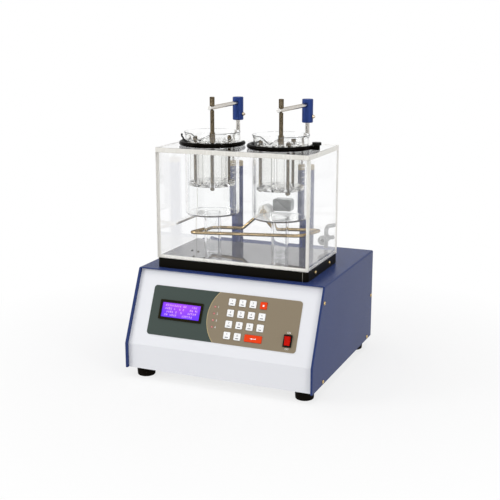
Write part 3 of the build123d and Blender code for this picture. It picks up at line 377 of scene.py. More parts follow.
def piece(name, mesh, finishes, body, slot, *replaced):
    """Puts a finished mesh into the scene on its body."""
    mesh.name = name
    for i, finish in enumerate(finishes):
        if i < len(mesh.materials):
            mesh.materials[i] = finish.material
        else:
            mesh.materials.append(finish.material)
    made = set_up(name, mesh)
    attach(made, body)
    if replaced:
        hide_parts(*replaced)


def as_mesh(shape):
    """A finished bmesh as a mesh."""
    mesh = bpy.data.meshes.new("shape")
    shape.to_mesh(mesh)
    shape.free()
    return mesh


def creased(mesh):
    """The mesh, smooth but for its creases."""
    mesh.shade_smooth()
    mesh.set_sharp_from_angle(angle=crease)
    return mesh


def around(radius, turn, middle=(0.0, 0.0)):
    """The point at this turn on a circle."""
    return middle[0] + radius * math.cos(turn), middle[1] + radius * math.sin(turn)


def turned(outline, steps):
    """A solid of revolution about Z. Its outline runs up the outside, as (radius, height)."""
    shape = bmesh.new()
    rings = []
    for radius, height in outline:
        turns = [2 * math.pi * i / steps for i in range(steps if radius else 1)]
        rings.append([shape.verts.new((*around(radius, turn), height)) for turn in turns])
    for low, high in zip(rings, rings[1:]):
        for i in range(steps):
            j = i + 1
            ring = [low[i % len(low)], low[j % len(low)], high[j % len(high)], high[i % len(high)]]
            shape.faces.new(list(dict.fromkeys(ring)))
    return creased(as_mesh(shape))


def arc(middle, radius, start, end, steps):
    """Points along an arc, evenly spaced, its start and end in degrees."""
    turns = [math.radians(start + (end - start) * i / steps) for i in range(steps + 1)]
    return [around(radius, turn, middle) for turn in turns]


def box_mesh(low, high):
    """A plain block between two corners."""
    shape = bmesh.new()
    bmesh.ops.create_cube(shape, size=1.0)
    bmesh.ops.scale(shape, vec=Vector(high) - Vector(low), verts=shape.verts)
    bmesh.ops.translate(shape, vec=(Vector(low) + Vector(high)) / 2, verts=shape.verts)
    return as_mesh(shape)


def evaluated(carrier):
    """The carrier's mesh with its modifiers worked in, as plain geometry. The carrier goes."""
    finished = carrier.evaluated_get(bpy.context.evaluated_depsgraph_get())
    mesh = bpy.data.meshes.new_from_object(finished)
    carrier.modifiers.clear()
    bpy.data.objects.remove(carrier)
    return mesh


def cut(mesh, *cutters):
    """A mesh with the space of the cutters taken away."""
    blank = set_up("blank", mesh)
    tools = [set_up("cutter", cutter) for cutter in cutters]
    for tool in tools:
        step = blank.modifiers.new("cut", "BOOLEAN")
        step.object = tool
        step.solver = "EXACT"
    result = evaluated(blank)
    for tool in tools:
        bpy.data.objects.remove(tool)
    return creased(result)


class Layout(Network):
    """A Geometry Nodes tree that sets out repeated shapes, with its sizes as named inputs."""

    def __init__(self, name):
        super().__init__(bpy.data.node_groups.new(name, "GeometryNodeTree"))
        self.start = self.tree.nodes.new("NodeGroupInput")
        self.end = self.tree.nodes.new("NodeGroupOutput")
        self.tree.interface.new_socket("Result", in_out="OUTPUT", socket_type="NodeSocketGeometry")
        self.points = self.size("Points", "Geometry")

    def size(self, name, kind):
        """A named input of the tree."""
        self.tree.interface.new_socket(name, in_out="INPUT", socket_type="NodeSocket" + kind)
        return Channel(self, self.start.outputs[name])

    def close(self, geometry):
        """Makes plain geometry of the instances and gives it the tree's finish."""
        finish = self.size("Finish", "Material")
        real = self.add("GeometryNodeRealizeInstances", {}, {"Geometry": geometry})
        done = self.add("GeometryNodeSetMaterial", {}, {"Geometry": real, "Material": finish})
        self.join(done, self.end.inputs[0])

    def made(self, sizes, places=(), turns=()):
        """The tree's mesh for these sizes, set out on these points."""
        points = bpy.data.meshes.new("points")
        points.from_pydata(list(places), [], [])
        attribute = points.attributes.new("turn", "FLOAT_VECTOR", "POINT")
        for spot, turn in zip(attribute.data, turns):
            spot.vector = turn
        carrier = set_up("points", points)
        modifier = carrier.modifiers.new("layout", "NODES")
        modifier.node_group = self.tree
        for item in self.tree.interface.items_tree:
            if item.in_out == "INPUT" and item.name in sizes:
                modifier[item.identifier] = sizes[item.name]
        return creased(evaluated(carrier))


fixings = Layout("fixings")
fixing_shape = fixings.add(
    "GeometryNodeObjectInfo", {}, {"Object": fixings.size("Shape", "Object")}, "Geometry"
)
fixing_turn = fixings.add(
    "GeometryNodeInputNamedAttribute", {"data_type": "FLOAT_VECTOR"}, {"Name": "turn"}, "Attribute"
)
fixings.close(fixings.add("GeometryNodeInstanceOnPoints", {}, {
    "Points": fixings.points,
    "Instance": fixing_shape,
    "Rotation": fixings.add("FunctionNodeEulerToRotation", {}, {"Euler": fixing_turn}),
}))


def set_out(shape, finish, places, turns=()):
    """Copies of one shape, each at its place and turned its own way, as one mesh."""
    pattern = set_up("pattern", shape)
    mesh = fixings.made({"Shape": pattern, "Finish": finish.material}, places, turns)
    bpy.data.objects.remove(pattern)
    return mesh


def domed_screw(radius, height):
    """A round head on a short shank, seat at the origin and head upwards."""
    rise = 1 - dome_foot_share
    curve = arc((0, 0), 1.0, 0, dome_angle, dome_steps)
    dome = [(radius * x, height * (dome_foot_share + rise * y)) for x, y in curve]
    outline = [(0, -shank_length), (shank_radius, -shank_length), (shank_radius, 0.0), (radius, 0.0)]
    return turned(outline + dome + [(0, height)], head_steps)


def cross_recess(reach, half, low, high):
    """The two bars of a cross recess, as cutting blocks."""
    return [box_mesh((-x, -y, low), (x, y, high)) for x, y in ((reach, half), (half, reach))]


brass = metal("brass", brass_dark, brass_light, roughness=0.22)
screw_shape = cut(
    domed_screw(head_radius, head_height),
    *cross_recess(recess_reach, recess_width / 2, head_height - recess_depth, 2 * head_height),
)
cover_low, cover_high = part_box("cover")
cabinet_top = cover_high.z
panel_run = 0.063
knee_height = 0.049
panel_knee = cover_low.z + knee_height
upper_screw_z = cabinet_top - side_screw_drop
slope_y = cover_low.y + panel_run * (upper_screw_z - panel_knee) / (cabinet_top - panel_knee)
side_screws = [
    (slope_y + side_screw_setback, upper_screw_z),
    (cover_high.y - back_screw_setback, cover_low.z + back_screw_height),
    (cover_low.y + low_front_setback, cover_low.z + low_screw_height),
    (cover_high.y - low_back_setback, cover_low.z + low_screw_height),
]
frame_low, frame_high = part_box("tank_base")
frame_screw_y = (frame_low.y + frame_high.y) / 2 + frame_screw_shift
frame_screw_z = (frame_low.z + frame_high.z) / 2
screw_places = [(x, y, z) for x in (cover_high.x, cover_low.x) for y, z in side_screws]
for way in (-1, 1):
    screw_places.append((frame_high.x, frame_screw_y + way * frame_screw_spacing / 2, frame_screw_z))
screw_turns = []
for i, (x, y, z) in enumerate(screw_places):
    outwards = Matrix.Rotation(math.copysign(math.pi / 2, x), 3, "Y")
    screw_turns.append((outwards @ Matrix.Rotation(i * recess_turn, 3, "Z")).to_euler())
screw_mesh = set_out(screw_shape, brass, screw_places, screw_turns)
piece("cross_screws", screw_mesh, [brass], "cabinet", "brass_screw", "case_screws")


# Feet
# Moulded rubber feet, slightly tapered, with a matt skin.
rubber_dark = (0.003, 0.002, 0.001)
rubber_light = (0.008, 0.006, 0.004)
skin_scale = 500.0
skin_dulling = 0.15
skin_strength = 0.25


def moulded(name, dark, light, roughness, gloss):
    """Moulded plastic or rubber with a fine grained skin."""
    made = Finish(name, {"Specular IOR Level": gloss})
    skin = made.noise(skin_scale, detail=4.0)
    made.colour(skin, dark, light)
    made.roughen(skin, least=roughness, spread=skin_dulling)
    made.bump(skin, skin_strength, peel_depth / 2)
    return made


rubber = moulded("black_rubber", rubber_dark, rubber_light, roughness=0.6, gloss=0.03)
dress(rubber, "feet")


# Control overlay
# A printed film stuck on the sloping face: slate on the left, taupe on the right, parted
# by a curved tan line. Its artwork is laid out in the panel's own plane.
panel_inset = 0.006
panel_lean = math.atan2(panel_run, cabinet_top - panel_knee)
panel_turn = math.pi / 2 - panel_lean
panel_origin = Vector((
    0.0,
    cover_low.y + panel_run + panel_inset * math.cos(panel_lean),
    cabinet_top - panel_inset * math.sin(panel_lean),
))
panel_place = Matrix.Translation(panel_origin) @ Matrix.Rotation(panel_turn, 4, "X")

film_middle_down = 0.0783
film_height = 0.0956
film_thickness = 0.0008
divider_x = -0.0127
divider_bulge = 0.019
divider_line = 0.0011
slate = (0.038, 0.056, 0.048)
slate_light = (0.048, 0.067, 0.058)
taupe = (0.238, 0.193, 0.13)
taupe_light = (0.27, 0.22, 0.15)
tan = (0.5, 0.39, 0.2)
film_grain_scale = 1600.0
film_grain_depth = 0.00004


def panel_axes(finish):
    """The across and up coordinates in the panel's plane, from the middle of the film."""
    middle = panel_place @ Vector((0.0, -film_middle_down, 0.0))
    sockets = {"Vector": finish.place(), "Location": middle, "Rotation": (panel_turn, 0.0, 0.0)}
    return finish.apart(finish.add("ShaderNodeMapping", {"vector_type": "TEXTURE"}, sockets))[:2]


printed_film = Finish("printed_film", {"Specular IOR Level": 0.22})
film_x, film_y = panel_axes(printed_film)
half_height = film_height / 2
bend_radius = (half_height**2 + divider_bulge**2) / (2 * divider_bulge)
bend_middle = divider_x - divider_bulge + bend_radius
out_x = film_x - bend_middle
reach = printed_film.one("SQRT", out_x * out_x + film_y * film_y)
inside_bend = (reach < bend_radius).most(film_x > bend_middle)
on_line = (printed_film.one("ABSOLUTE", reach - bend_radius) < divider_line / 2) * (film_x < bend_middle)
grain = printed_film.noise(film_grain_scale, detail=2.0)
left_tone = printed_film.blend(grain, slate, slate_light)
right_tone = printed_film.blend(grain, taupe, taupe_light)
printed_film.colour(on_line, printed_film.blend(inside_bend, left_tone, right_tone), tan)
printed_film.roughen(grain, least=0.42, spread=0.1)
printed_film.bump(grain, strength=0.2, distance=film_grain_depth)
dress(printed_film, "overlay")


# Display
# A backlit character display under a black rim. Its cells glow faintly in rows of dots.
rim_dark = (0.007, 0.005, 0.001)
rim_light = (0.018, 0.014, 0.003)
black_gloss = moulded("black_gloss", rim_dark, rim_light, roughness=0.3, gloss=0.05)
dress(black_gloss, "screen_bezel")

screen_violet = (0.34, 0.07, 0.85)
screen_blue = (0.13, 0.035, 0.8)
screen_pink = (0.75, 0.42, 0.95)
screen_glow = 0.5
dot_pitch = 0.00062
cell_wide = 0.0037
line_tall = 0.0062
text_reach = 0.034
text_rise = 0.0125
dots_unlit = 0.42
cells_empty = 0.4
cell_left = 0.1
cell_right = 0.84
cell_foot = 0.16
cell_head = 0.8
text_strength = 0.6
fade_slant = 0.4
fade_low = -0.014
fade_high = 0.02
screen_middle_x = -0.0876
screen_middle_down = 0.0758
lines_above_middle = 2

display = Finish("display", {"Specular IOR Level": 0.1, "Emission Strength": screen_glow})
film_across, film_up = panel_axes(display)
screen_across = film_across - screen_middle_x
screen_up = film_up - (film_middle_down - screen_middle_down)


def scattered(finish, column, row):
    """A steady random value for every whole column and row."""
    spot = finish.vector(finish.one("FLOOR", column), finish.one("FLOOR", row))
    return finish.add("ShaderNodeTexWhiteNoise", {"noise_dimensions": "2D"}, {"Vector": spot}, "Value")


lines = (screen_up + lines_above_middle * line_tall) / line_tall
columns = (screen_across + text_reach) / cell_wide
dots = scattered(display, screen_across / dot_pitch, screen_up / dot_pitch) > dots_unlit
up_share = display.one("FRACT", lines)
across_share = display.one("FRACT", columns)
in_line = (up_share > cell_foot) * (up_share < cell_head)
in_column = (across_share > cell_left) * (across_share < cell_right)
off_middle = display.one("ABSOLUTE", screen_across)
in_text = (off_middle < text_reach) * (display.one("ABSOLUTE", screen_up) < text_rise)
filled = scattered(display, columns, lines) > cells_empty
written = dots * in_line * in_column * in_text * filled
lit = display.ramp(off_middle * fade_slant - screen_up, fade_low, fade_high)
backlight = display.blend(lit, screen_violet, screen_blue)
display_colour = display.blend(written * text_strength, backlight, screen_pink)
display.set({"Base Color": display_colour, "Emission Color": display_colour})
display.roughen(display.noise(skin_scale, detail=2.0), least=0.15, spread=0.06)
dress(display, "screen")


# Keys
# Moulded caps that press through the overlay: white ones with a dark figure over a short bar,
# and the stop and enter caps in red with a white mark.
key_white = moulded("key_white", (0.92, 0.92, 0.92), (0.96, 0.96, 0.96), roughness=0.35, gloss=0.3)
key_red = moulded("key_red", (0.78, 0.045, 0.008), (0.88, 0.07, 0.012), roughness=0.4, gloss=0.08)
ink_dark = moulded("ink_dark", (0.03, 0.03, 0.035), (0.06, 0.06, 0.065), roughness=0.5, gloss=0.1)
ink_white = moulded("ink_white", (0.9, 0.9, 0.9), (0.95, 0.95, 0.95), roughness=0.5, gloss=0.1)
red_keys = ("key_stop", "key_enter")
white_keys = [name for name in nodes if name.startswith("key_") and name not in red_keys]
dress(key_white, *white_keys)
dress(key_red, *red_keys)

key_face_height = 0.002
ink_thickness = 0.00006
merge_reach = 0.000002
figure_height = 0.0055
figure_lift = 0.0022
bar_drop = 0.0031
bar_width = 0.0062
bar_height = 0.0013
square_size = 0.0034
arrow_length = 0.012
arrow_head = 0.0044
arrow_spread = 0.0032
arrow_stem = 0.0011
key_rows = ("123", "456+", "789-", "*0")


def welded(mesh):
    """The mesh as one closed skin, its seams merged."""
    skin = bmesh.new()
    skin.from_mesh(mesh)
    bmesh.ops.remove_doubles(skin, verts=skin.verts, dist=merge_reach)
    return creased(as_mesh(skin))


def lettering(words, height):
    """Raised print as a plain mesh, lying on the XY plane round its middle."""
    curve = bpy.data.curves.new("print", "FONT")
    curve.body = words
    curve.size = height
    curve.extrude = ink_thickness / 2
    curve.align_x = "CENTER"
    curve.align_y = "CENTER"
    curve.resolution_u = 4
    return welded(evaluated(set_up("print", curve)))


def flat_shape(outline):
    """A thin flat print with this outline, points counterclockwise, on the XY plane."""
    shape = bmesh.new()
    face = shape.faces.new([shape.verts.new((x, y, ink_thickness / 2)) for x, y in outline])
    extruded = bmesh.ops.extrude_face_region(shape, geom=[face])
    lower = [part for part in extruded["geom"] if isinstance(part, bmesh.types.BMVert)]
    bmesh.ops.translate(shape, vec=(0, 0, -ink_thickness), verts=lower)
    bmesh.ops.recalc_face_normals(shape, faces=shape.faces)
    return creased(as_mesh(shape))


def bar(width, height):
    """A flat printed bar round the origin."""
    x, y = width / 2, height / 2
    return flat_shape([(-x, -y), (x, -y), (x, y), (-x, y)])


def joined(meshes):
    """Several prints as one."""
    shape = bmesh.new()
    for mesh in meshes:
        shape.from_mesh(mesh)
    return creased(as_mesh(shape))


def shifted(mesh, x, y, z=0.0):
    mesh.transform(Matrix.Translation((x, y, z)))
    return mesh


def panel_spot(node):
    """The middle of a node in the panel's own coordinates, across and up the slope."""
    low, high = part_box(node)
    spot = panel_place.inverted() @ ((low + high) / 2)
    return spot.x, spot.y


def on_panel(mesh, spot, height):
    """Lays a print on the sloping panel, its middle at this spot and height."""
    mesh.transform(panel_place @ Matrix.Translation((*spot, height + ink_thickness / 2)))
    return mesh


for row, figures in enumerate(key_rows, 1):
    for column, figure in enumerate(figures, 1):
        name = f"key_{row}_{column}"
        number = shifted(lettering(figure, figure_height), 0.0, figure_lift)
        mesh = joined([number, shifted(bar(bar_width, bar_height), 0.0, -bar_drop)])
        mesh = on_panel(mesh, panel_spot(name), key_face_height)
        piece("figure_" + name, mesh, [ink_dark], name, "key_white")

stop_mark = on_panel(bar(square_size, square_size), panel_spot("key_stop"), key_face_height)
piece("stop_mark", stop_mark, [ink_white], "key_stop", "key_red")
arrow_end = arrow_length / 2
arrow_neck = arrow_head - arrow_end
arrow_outline = [
    (-arrow_end, 0.0),
    (arrow_neck, -arrow_spread / 2),
    (arrow_neck, -arrow_stem / 2),
    (arrow_end, -arrow_stem / 2),
    (arrow_end, arrow_spread / 2),
    (arrow_end - arrow_stem, arrow_spread / 2),
    (arrow_end - arrow_stem, arrow_stem / 2),
    (arrow_neck, arrow_stem / 2),
    (arrow_neck, arrow_spread / 2),
]
arrow = on_panel(flat_shape(arrow_outline), panel_spot("key_enter"), key_face_height)
piece("enter_arrow", arrow, [ink_white], "key_enter", "key_red")


# Status lamps
# Small round-nosed red lamps in a column, each with a plain number printed beside it.
lamp_pitch = 0.01285
lamp_count = 4
lamp_number_gap = 0.0068
lamp_number_height = 0.0056
lamp_red = Finish("lamp_red", {"Roughness": 0.15, "Coat Weight": 0.6})
lamp_red.colour(lamp_red.noise(grain_scale, detail=2.0), (0.6, 0.16, 0.16), (0.8, 0.3, 0.28))
dress(lamp_red, "status_lamps")

lamp_x, lamp_middle = panel_spot("status_lamps")
for i in range(lamp_count):
    above_middle = (lamp_count - 1) / 2 - i
    spot = (lamp_x + lamp_number_gap, lamp_middle + above_middle * lamp_pitch)
    number = on_panel(lettering(str(i + 1), lamp_number_height), spot, film_thickness)
    piece(f"lamp_number_{i + 1}", number, [ink_white], "cabinet", "printed_film")


# Mains switch
# A black snap-in body with a bright red rocker that tilts on a pivot across it,
# and the two positions printed above and below.
switch_word_height = 0.0044
switch_word_gap = 0.0034
switch_tall = 0.023
switch_up = -0.1053
black_plastic = moulded(
    "black_plastic", (0.004, 0.004, 0.003), (0.01, 0.01, 0.009), roughness=0.3, gloss=0.06
)
rocker_red = moulded("rocker_red", (0.48, 0.004, 0.001), (0.62, 0.008, 0.002), roughness=0.2, gloss=0.08)
dress(black_plastic, "switch_body", "clamp_knob")
dress(rocker_red, "switch_rocker")
switch_x = panel_spot("switch_body")[0]
for word, side in (("ON", 1), ("OFF", -1)):
    up = switch_up + side * (switch_tall / 2 + switch_word_gap)
    mesh = on_panel(lettering(word, switch_word_height), (switch_x, up), film_thickness)
    piece("switch_word_" + word.lower(), mesh, [ink_white], "cabinet", "printed_film")


# Mains inlet
# A shrouded plastic socket that snaps into the back panel, with three tinned blades.
mouth_margin = 0.0135
mouth_lift = 0.0065
blade_front_depth = 0.0165
blade_back_depth = 0.004
inlet_low, inlet_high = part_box("power_inlet")
blade_tin = metal("blade_tin", (0.5, 0.5, 0.5), (0.75, 0.75, 0.74), roughness=0.2)


def finish_by_place(mesh, choose):
    """Gives every face the finish that choose picks for its middle."""
    for face in mesh.polygons:
        face.material_index = choose(face.center)
    return mesh


def is_blade(place):
    across = inlet_low.x + mouth_margin < place.x < inlet_high.x - mouth_margin
    upright = inlet_low.z + mouth_lift < place.z < inlet_high.z - mouth_lift
    return int(across and upright and blade_back_depth < inlet_high.y - place.y < blade_front_depth)


inlet_mesh = finish_by_place(welded(nodes["power_inlet"].data), is_blade)
inlet_finishes = [black_plastic, blade_tin]
piece("inlet_with_blades", inlet_mesh, inlet_finishes, "cabinet", "black_plastic", "power_inlet")


# Control board
# A green circuit board on pillars behind the panel, with a small switch under every key.
board_green = moulded("board_green", (0.012, 0.09, 0.03), (0.02, 0.14, 0.05), roughness=0.3, gloss=0.3)
dress(board_green, "control_board")


# Lifting gear
# The motor, its heart cam, the roller that runs on it and the bar that ties both shafts.
motor_metal = metal("motor_metal", (0.2, 0.2, 0.21), (0.34, 0.34, 0.35), roughness=0.35)
steel = metal("steel", (0.42, 0.42, 0.43), (0.6, 0.6, 0.61), roughness=0.25, grain=(1, 1, 6))
aluminium_bar = metal("aluminium_bar", (0.55, 0.55, 0.56), (0.72, 0.72, 0.73), roughness=0.3, grain=(1, 8, 8))
nylon = moulded("nylon", (0.6, 0.58, 0.52), (0.7, 0.68, 0.62), roughness=0.45, gloss=0.3)
dress(motor_metal, "gear_motor")
dress(steel, "heart_cam")
dress(aluminium_bar, "crosshead")
dress(nylon, "cam_roller")


# Guide bushes
# Cream plastic sleeves at the top and foot of each column, in which the shafts slide.
bush_cream = moulded("bush_cream", (0.34, 0.26, 0.14), (0.44, 0.34, 0.2), roughness=0.4, gloss=0.3)
dress(bush_cream, "guide_bushes")


# Shafts, arms and hubs
# Bright drawn stainless bar; the hubs are turned from aluminium, anodised blue and held by
# small bronze screws.
drawn_scale = 900.0
turned_scale = 600.0
up_grain = (1, 1, 0.12)
deep_grain = (1, 0.12, 1)
round_grain = (1, 1, 5)
# The edge tints are painted shade: they darken the metals' reflections seen edge on, for darker surroundings.
painted_dark_edge = (0.16, 0.12, 0.07)
arm_painted_edge = (0.45, 0.4, 0.34)
shaft_tones = ((0.3, 0.28, 0.25), (0.8, 0.78, 0.75))
arm_tones = ((0.62, 0.6, 0.57), (0.95, 0.94, 0.92))
hub_tones = ((0.02, 0.042, 0.17), (0.03, 0.06, 0.225))
stainless = metal("stainless", *shaft_tones, roughness=0.12, grain=up_grain, scale=drawn_scale, edge_shade=painted_dark_edge)
arm_steel = metal("arm_steel", *arm_tones, roughness=0.12, grain=deep_grain, scale=drawn_scale, edge_shade=arm_painted_edge)
blue_anodised = metal("blue_anodised", *hub_tones, roughness=0.34, grain=round_grain, scale=turned_scale)
blue_anodised.set({"Metallic": 0.5, "Specular IOR Level": 0.1})
bronze = metal("bronze", (0.3, 0.24, 0.17), (0.62, 0.54, 0.42), roughness=0.2)
dress(stainless, "lift_shafts")
dress(arm_steel, "arms")
dress(blue_anodised, "arm_hubs")
dress(bronze, "hub_screws")


# Guide columns
# Two square tubes of steel that stand up from the case, powder coated in a deeper blue.
column_paint = painted("column_paint", (0.012, 0.028, 0.13), (0.018, 0.038, 0.17), roughness=0.25, gloss=0.08)
dress(column_paint, "guide_columns")


# Bath frame
# Black painted sheet folded into a shallow frame under the bath. Its ends meet near the right
# front corner in a fine groove, and a bright strip laid in that groove, just below the paint, is a painted
# highlight.
highlight_setback = 0.01
highlight_width = 0.0008
highlight_depth = 0.00045
black_paint = painted("black_paint", (0.0035, 0.003, 0.002), (0.007, 0.006, 0.004), roughness=0.3, gloss=0.04)
seam_weld = metal("seam_weld", (0.2, 0.19, 0.16), (0.42, 0.4, 0.36), roughness=0.35, grain=(1, 1, 0.3))
dress(black_paint, "tank_base")
highlight_x = frame_high.x - highlight_setback
highlight_mesh = box_mesh(
    (highlight_x - highlight_width / 2, frame_low.y + highlight_depth / 4, frame_low.z),
    (highlight_x + highlight_width / 2, frame_low.y + highlight_depth, frame_high.z),
)
piece("frame_seam", highlight_mesh, [seam_weld], "cabinet", "black_paint")


# Bath walls
# Four clear acrylic sheets, saw cut and bonded into an open box round a grey floor sheet.
# The cut ends are polished and painted pale, partly their own tone and partly painted light
# that glows along the acrylic's edges. The back sheet is drilled for heater, probe and drain.
wall = 0.006
bond_gap = 0.00004
sheet_edge = 0.0003
hole_steps = 40
hole_reach = 0.03
acrylic_ior = 1.49
acrylic_tint = (0.982, 0.986, 0.994)
glass_edge_power = 9.0
flat_on = 0.9
saw_scale = 60.0
saw_grain = (8, 8, 1)
# The pale cream of the cut ends is partly painted light, the glow along the acrylic's edges.
cream = (0.7, 0.675, 0.61)
cream_light = (0.9, 0.885, 0.85)
floor_grey = (0.085, 0.083, 0.088)
floor_grey_light = (0.115, 0.112, 0.118)
heater_rise = 0.0643
heater_hole = 0.0102
probe_hole = 0.0022
drain_inset = 0.031
drain_rise = 0.0187
drain_hole = 0.00595


def glass(name, tint, ior, edge_on_shade=None):
    """Real refracting glass that lets the lamps' light through to what stands behind it."""
    made = Finish(name, {"Transmission Weight": 1.0, "IOR": ior, "Roughness": 0.0})
    clear = made.blend(made.noise(cloud_scale, detail=2.0), tint, (1.0, 1.0, 1.0))
    # Seen edge on, the glass darkens towards edge_on_shade, a painted shade that outlines its walls.
    if edge_on_shade:
        clear = made.blend(made.edge_on() ** glass_edge_power, clear, edge_on_shade)
    made.set({"Base Color": clear})
    see_through = made.add("ShaderNodeBsdfTransparent", {}, {"Color": tint})
    made.show(made.ray("Is Shadow Ray"), made.solid(), see_through)
    return made


def sheet(low, high):
    """A sheet with tiny bevels. Its two big faces take the first finish, its rim the second."""
    reach = Vector(high) - Vector(low)
    thin = min(range(3), key=lambda axis: reach[axis])
    shape = bmesh.new()
    shape.from_mesh(box_mesh(low, high))
    bmesh.ops.bevel(shape, geom=shape.edges[:], offset=sheet_edge, segments=1, profile=0.5, affect="EDGES")
    for face in shape.faces:
        face.material_index = int(abs(face.normal[thin]) < flat_on)
    return as_mesh(shape)


def rod(radius, low, high, steps):
    """An upright round rod on the origin, for cutting."""
    return turned([(0, low), (radius, low), (radius, high), (0, high)], steps)


def laid_down(mesh, x, y, z):
    """Lays an upright piece down, so that its top points forwards, and moves it."""
    mesh.transform(Matrix.Translation((x, y, z)) @ Matrix.Rotation(math.pi / 2, 4, "X"))
    return mesh


clear_acrylic = glass("clear_acrylic", acrylic_tint, acrylic_ior)
polished_edge = Finish("polished_edge", {"Specular IOR Level": 0.5})
saw_lines = polished_edge.noise(saw_scale, detail=3.0, vector=polished_edge.stretched(saw_grain))
polished_edge.colour(saw_lines, cream, cream_light)
polished_edge.roughen(saw_lines, least=0.15, spread=0.2)
polished_edge.bump(saw_lines, strength=0.2, distance=peel_depth)
floor_gloss = {"Specular IOR Level": 0.4, "Coat Weight": 0.3, "Coat Roughness": 0.01}
bath_floor = Finish("bath_floor", floor_gloss)
floor_cloud = bath_floor.noise(cloud_scale, detail=4.0)
bath_floor.colour(floor_cloud, floor_grey, floor_grey_light)
bath_floor.roughen(floor_cloud, least=0.015, spread=0.03)

bath_low, bath_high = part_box("tank")
wall_top = bath_high.z - bond_gap
inner_left = bath_low.x + wall
inner_right = bath_high.x - wall
inner_front = bath_low.y + wall
inner_back = bath_high.y - wall
side_front = inner_front + bond_gap
side_back = inner_back - bond_gap
floor_top = bath_low.z + wall
heater_x = -0.0035
heater_z = floor_top + heater_rise
probe_low, probe_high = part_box("temperature_probe")
clear_and_edge = [clear_acrylic, polished_edge]

front_wall = sheet(bath_low, (bath_high.x, inner_front, wall_top))
piece("bath_front", front_wall, clear_and_edge, "cabinet", "clear_acrylic", "tank")
back_wall = sheet((bath_low.x, inner_back, bath_low.z), (bath_high.x, bath_high.y, wall_top))
wall_holes = [
    (heater_hole, heater_x, heater_z),
    (probe_hole, (probe_low.x + probe_high.x) / 2, (probe_low.z + probe_high.z) / 2),
    (drain_hole, bath_high.x - drain_inset, floor_top + drain_rise),
]
drills = [
    laid_down(rod(radius, -hole_reach, hole_reach, hole_steps), x, bath_high.y, z)
    for radius, x, z in wall_holes
]
piece("bath_back", cut(back_wall, *drills), clear_and_edge, "cabinet", "clear_acrylic")
for name, left, right in (("bath_left", bath_low.x, inner_left), ("bath_right", inner_right, bath_high.x)):
    side_wall = sheet((left, side_front, bath_low.z), (right, side_back, wall_top))
    piece(name, side_wall, clear_and_edge, "cabinet", "clear_acrylic")
floor_sheet = sheet(
    (inner_left + bond_gap, side_front, bath_low.z + bond_gap),
    (inner_right - bond_gap, side_back, floor_top),
)
piece("bath_floor", floor_sheet, [bath_floor, polished_edge], "cabinet", "clear_acrylic")


# Floor screws
# Small dark screws through the bath's floor into its frame, in the left front corner.
floor_screw_radius = 0.0021
floor_screw_crown = 0.8 * floor_screw_radius
floor_screw_height = 0.0014
floor_screw_steps = 16
floor_screw_places = [(-0.1096, -0.0529), (-0.0937, -0.0583), (-0.0845, -0.0985), (-0.0605, -0.1005)]
floor_screw = turned([
    (0, 0),
    (floor_screw_radius, 0),
    (floor_screw_crown, floor_screw_height),
    (0, floor_screw_height),
], floor_screw_steps)
screw_black = metal("screw_black", (0.02, 0.015, 0.01), (0.05, 0.04, 0.03), roughness=0.45)
on_floor = [(x, y, floor_top) for x, y in floor_screw_places]
floor_screws = set_out(floor_screw, screw_black, on_floor)
piece("floor_screws", floor_screws, [screw_black], "cabinet", "stainless")


# Bath lid
# A thicker clear sheet that rests on the walls, with a round hole for each beaker.
stations = {"left": -0.0745, "right": 0.067}
station_y = -0.0316
lid_hole_radius = 0.054
lid_hole_steps = 96
lid_low, lid_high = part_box("tank_lid")
lid_cutters = [
    shifted(rod(lid_hole_radius, lid_low.z - wall, lid_high.z + wall, lid_hole_steps), x, station_y)
    for x in stations.values()
]
lid_mesh = cut(sheet(lid_low, lid_high), *lid_cutters)


def lid_part(place):
    """1 for the sawn rim of the lid, 0 for its faces and its two holes."""
    across = min(place.x - lid_low.x, lid_high.x - place.x)
    deep = min(place.y - lid_low.y, lid_high.y - place.y)
    return int(min(across, deep) < merge_reach)


lid_mesh = finish_by_place(lid_mesh, lid_part)
piece("bath_lid", lid_mesh, clear_and_edge, "cabinet", "clear_acrylic", "tank_lid")


# Immersion heater
# A bent stainless tube, browned by heat, in a white flange with a bronze core on the back
# wall. Behind the wall a white cap and a pale grey box cover the terminals.
flange_radius = 0.017
flange_thickness = 0.005
flange_front = inner_back - flange_thickness
core_radius = 0.0095
core_crown = 0.93 * core_radius
core_proud = 0.0008
core_shoulder = 0.6 * core_proud
# The tube's dark and bright bands are partly its heat tint and partly painted highlights and shade.
heat_tint_and_highlight_tones = ((0.1, 0.06, 0.02), (0.7, 0.53, 0.29))
heater_band_stretch = (0.4, 0.4, 2.5)
heater_scale = 130.0


def heater_part(place):
    """0 for the tube, 1 for the flange and its cap, 2 for the terminal box."""
    away = math.hypot(place.x - heater_x, place.z - heater_z)
    if place.y < flange_front + merge_reach and away < flange_radius:
        return int(away > core_radius and place.y > flange_front - merge_reach)
    if place.y < flange_front:
        return 0
    return 1 if away < flange_radius + merge_reach else 2


heater_tube = metal(
    "heater_tube", *heat_tint_and_highlight_tones, roughness=0.08, grain=heater_band_stretch, scale=heater_scale, edge_shade=painted_dark_edge
)
white_plastic = moulded("white_plastic", (0.56, 0.55, 0.53), (0.66, 0.65, 0.63), roughness=0.3, gloss=0.4)
box_grey = moulded("box_grey", (0.36, 0.37, 0.36), (0.5, 0.51, 0.5), roughness=0.18, gloss=0.5)
heater_finishes = [heater_tube, white_plastic, box_grey]
heater_mesh = finish_by_place(welded(nodes["heater"].data), heater_part)
piece("immersion_heater", heater_mesh, heater_finishes, "cabinet", "heater_steel", "heater")
core = turned([
    (0, 0),
    (core_radius, 0),
    (core_radius, core_shoulder),
    (core_crown, core_proud),
    (0, core_proud),
], hole_steps)
piece("heater_core", laid_down(core, heater_x, flange_front, heater_z), [bronze], "cabinet", "heater_steel")


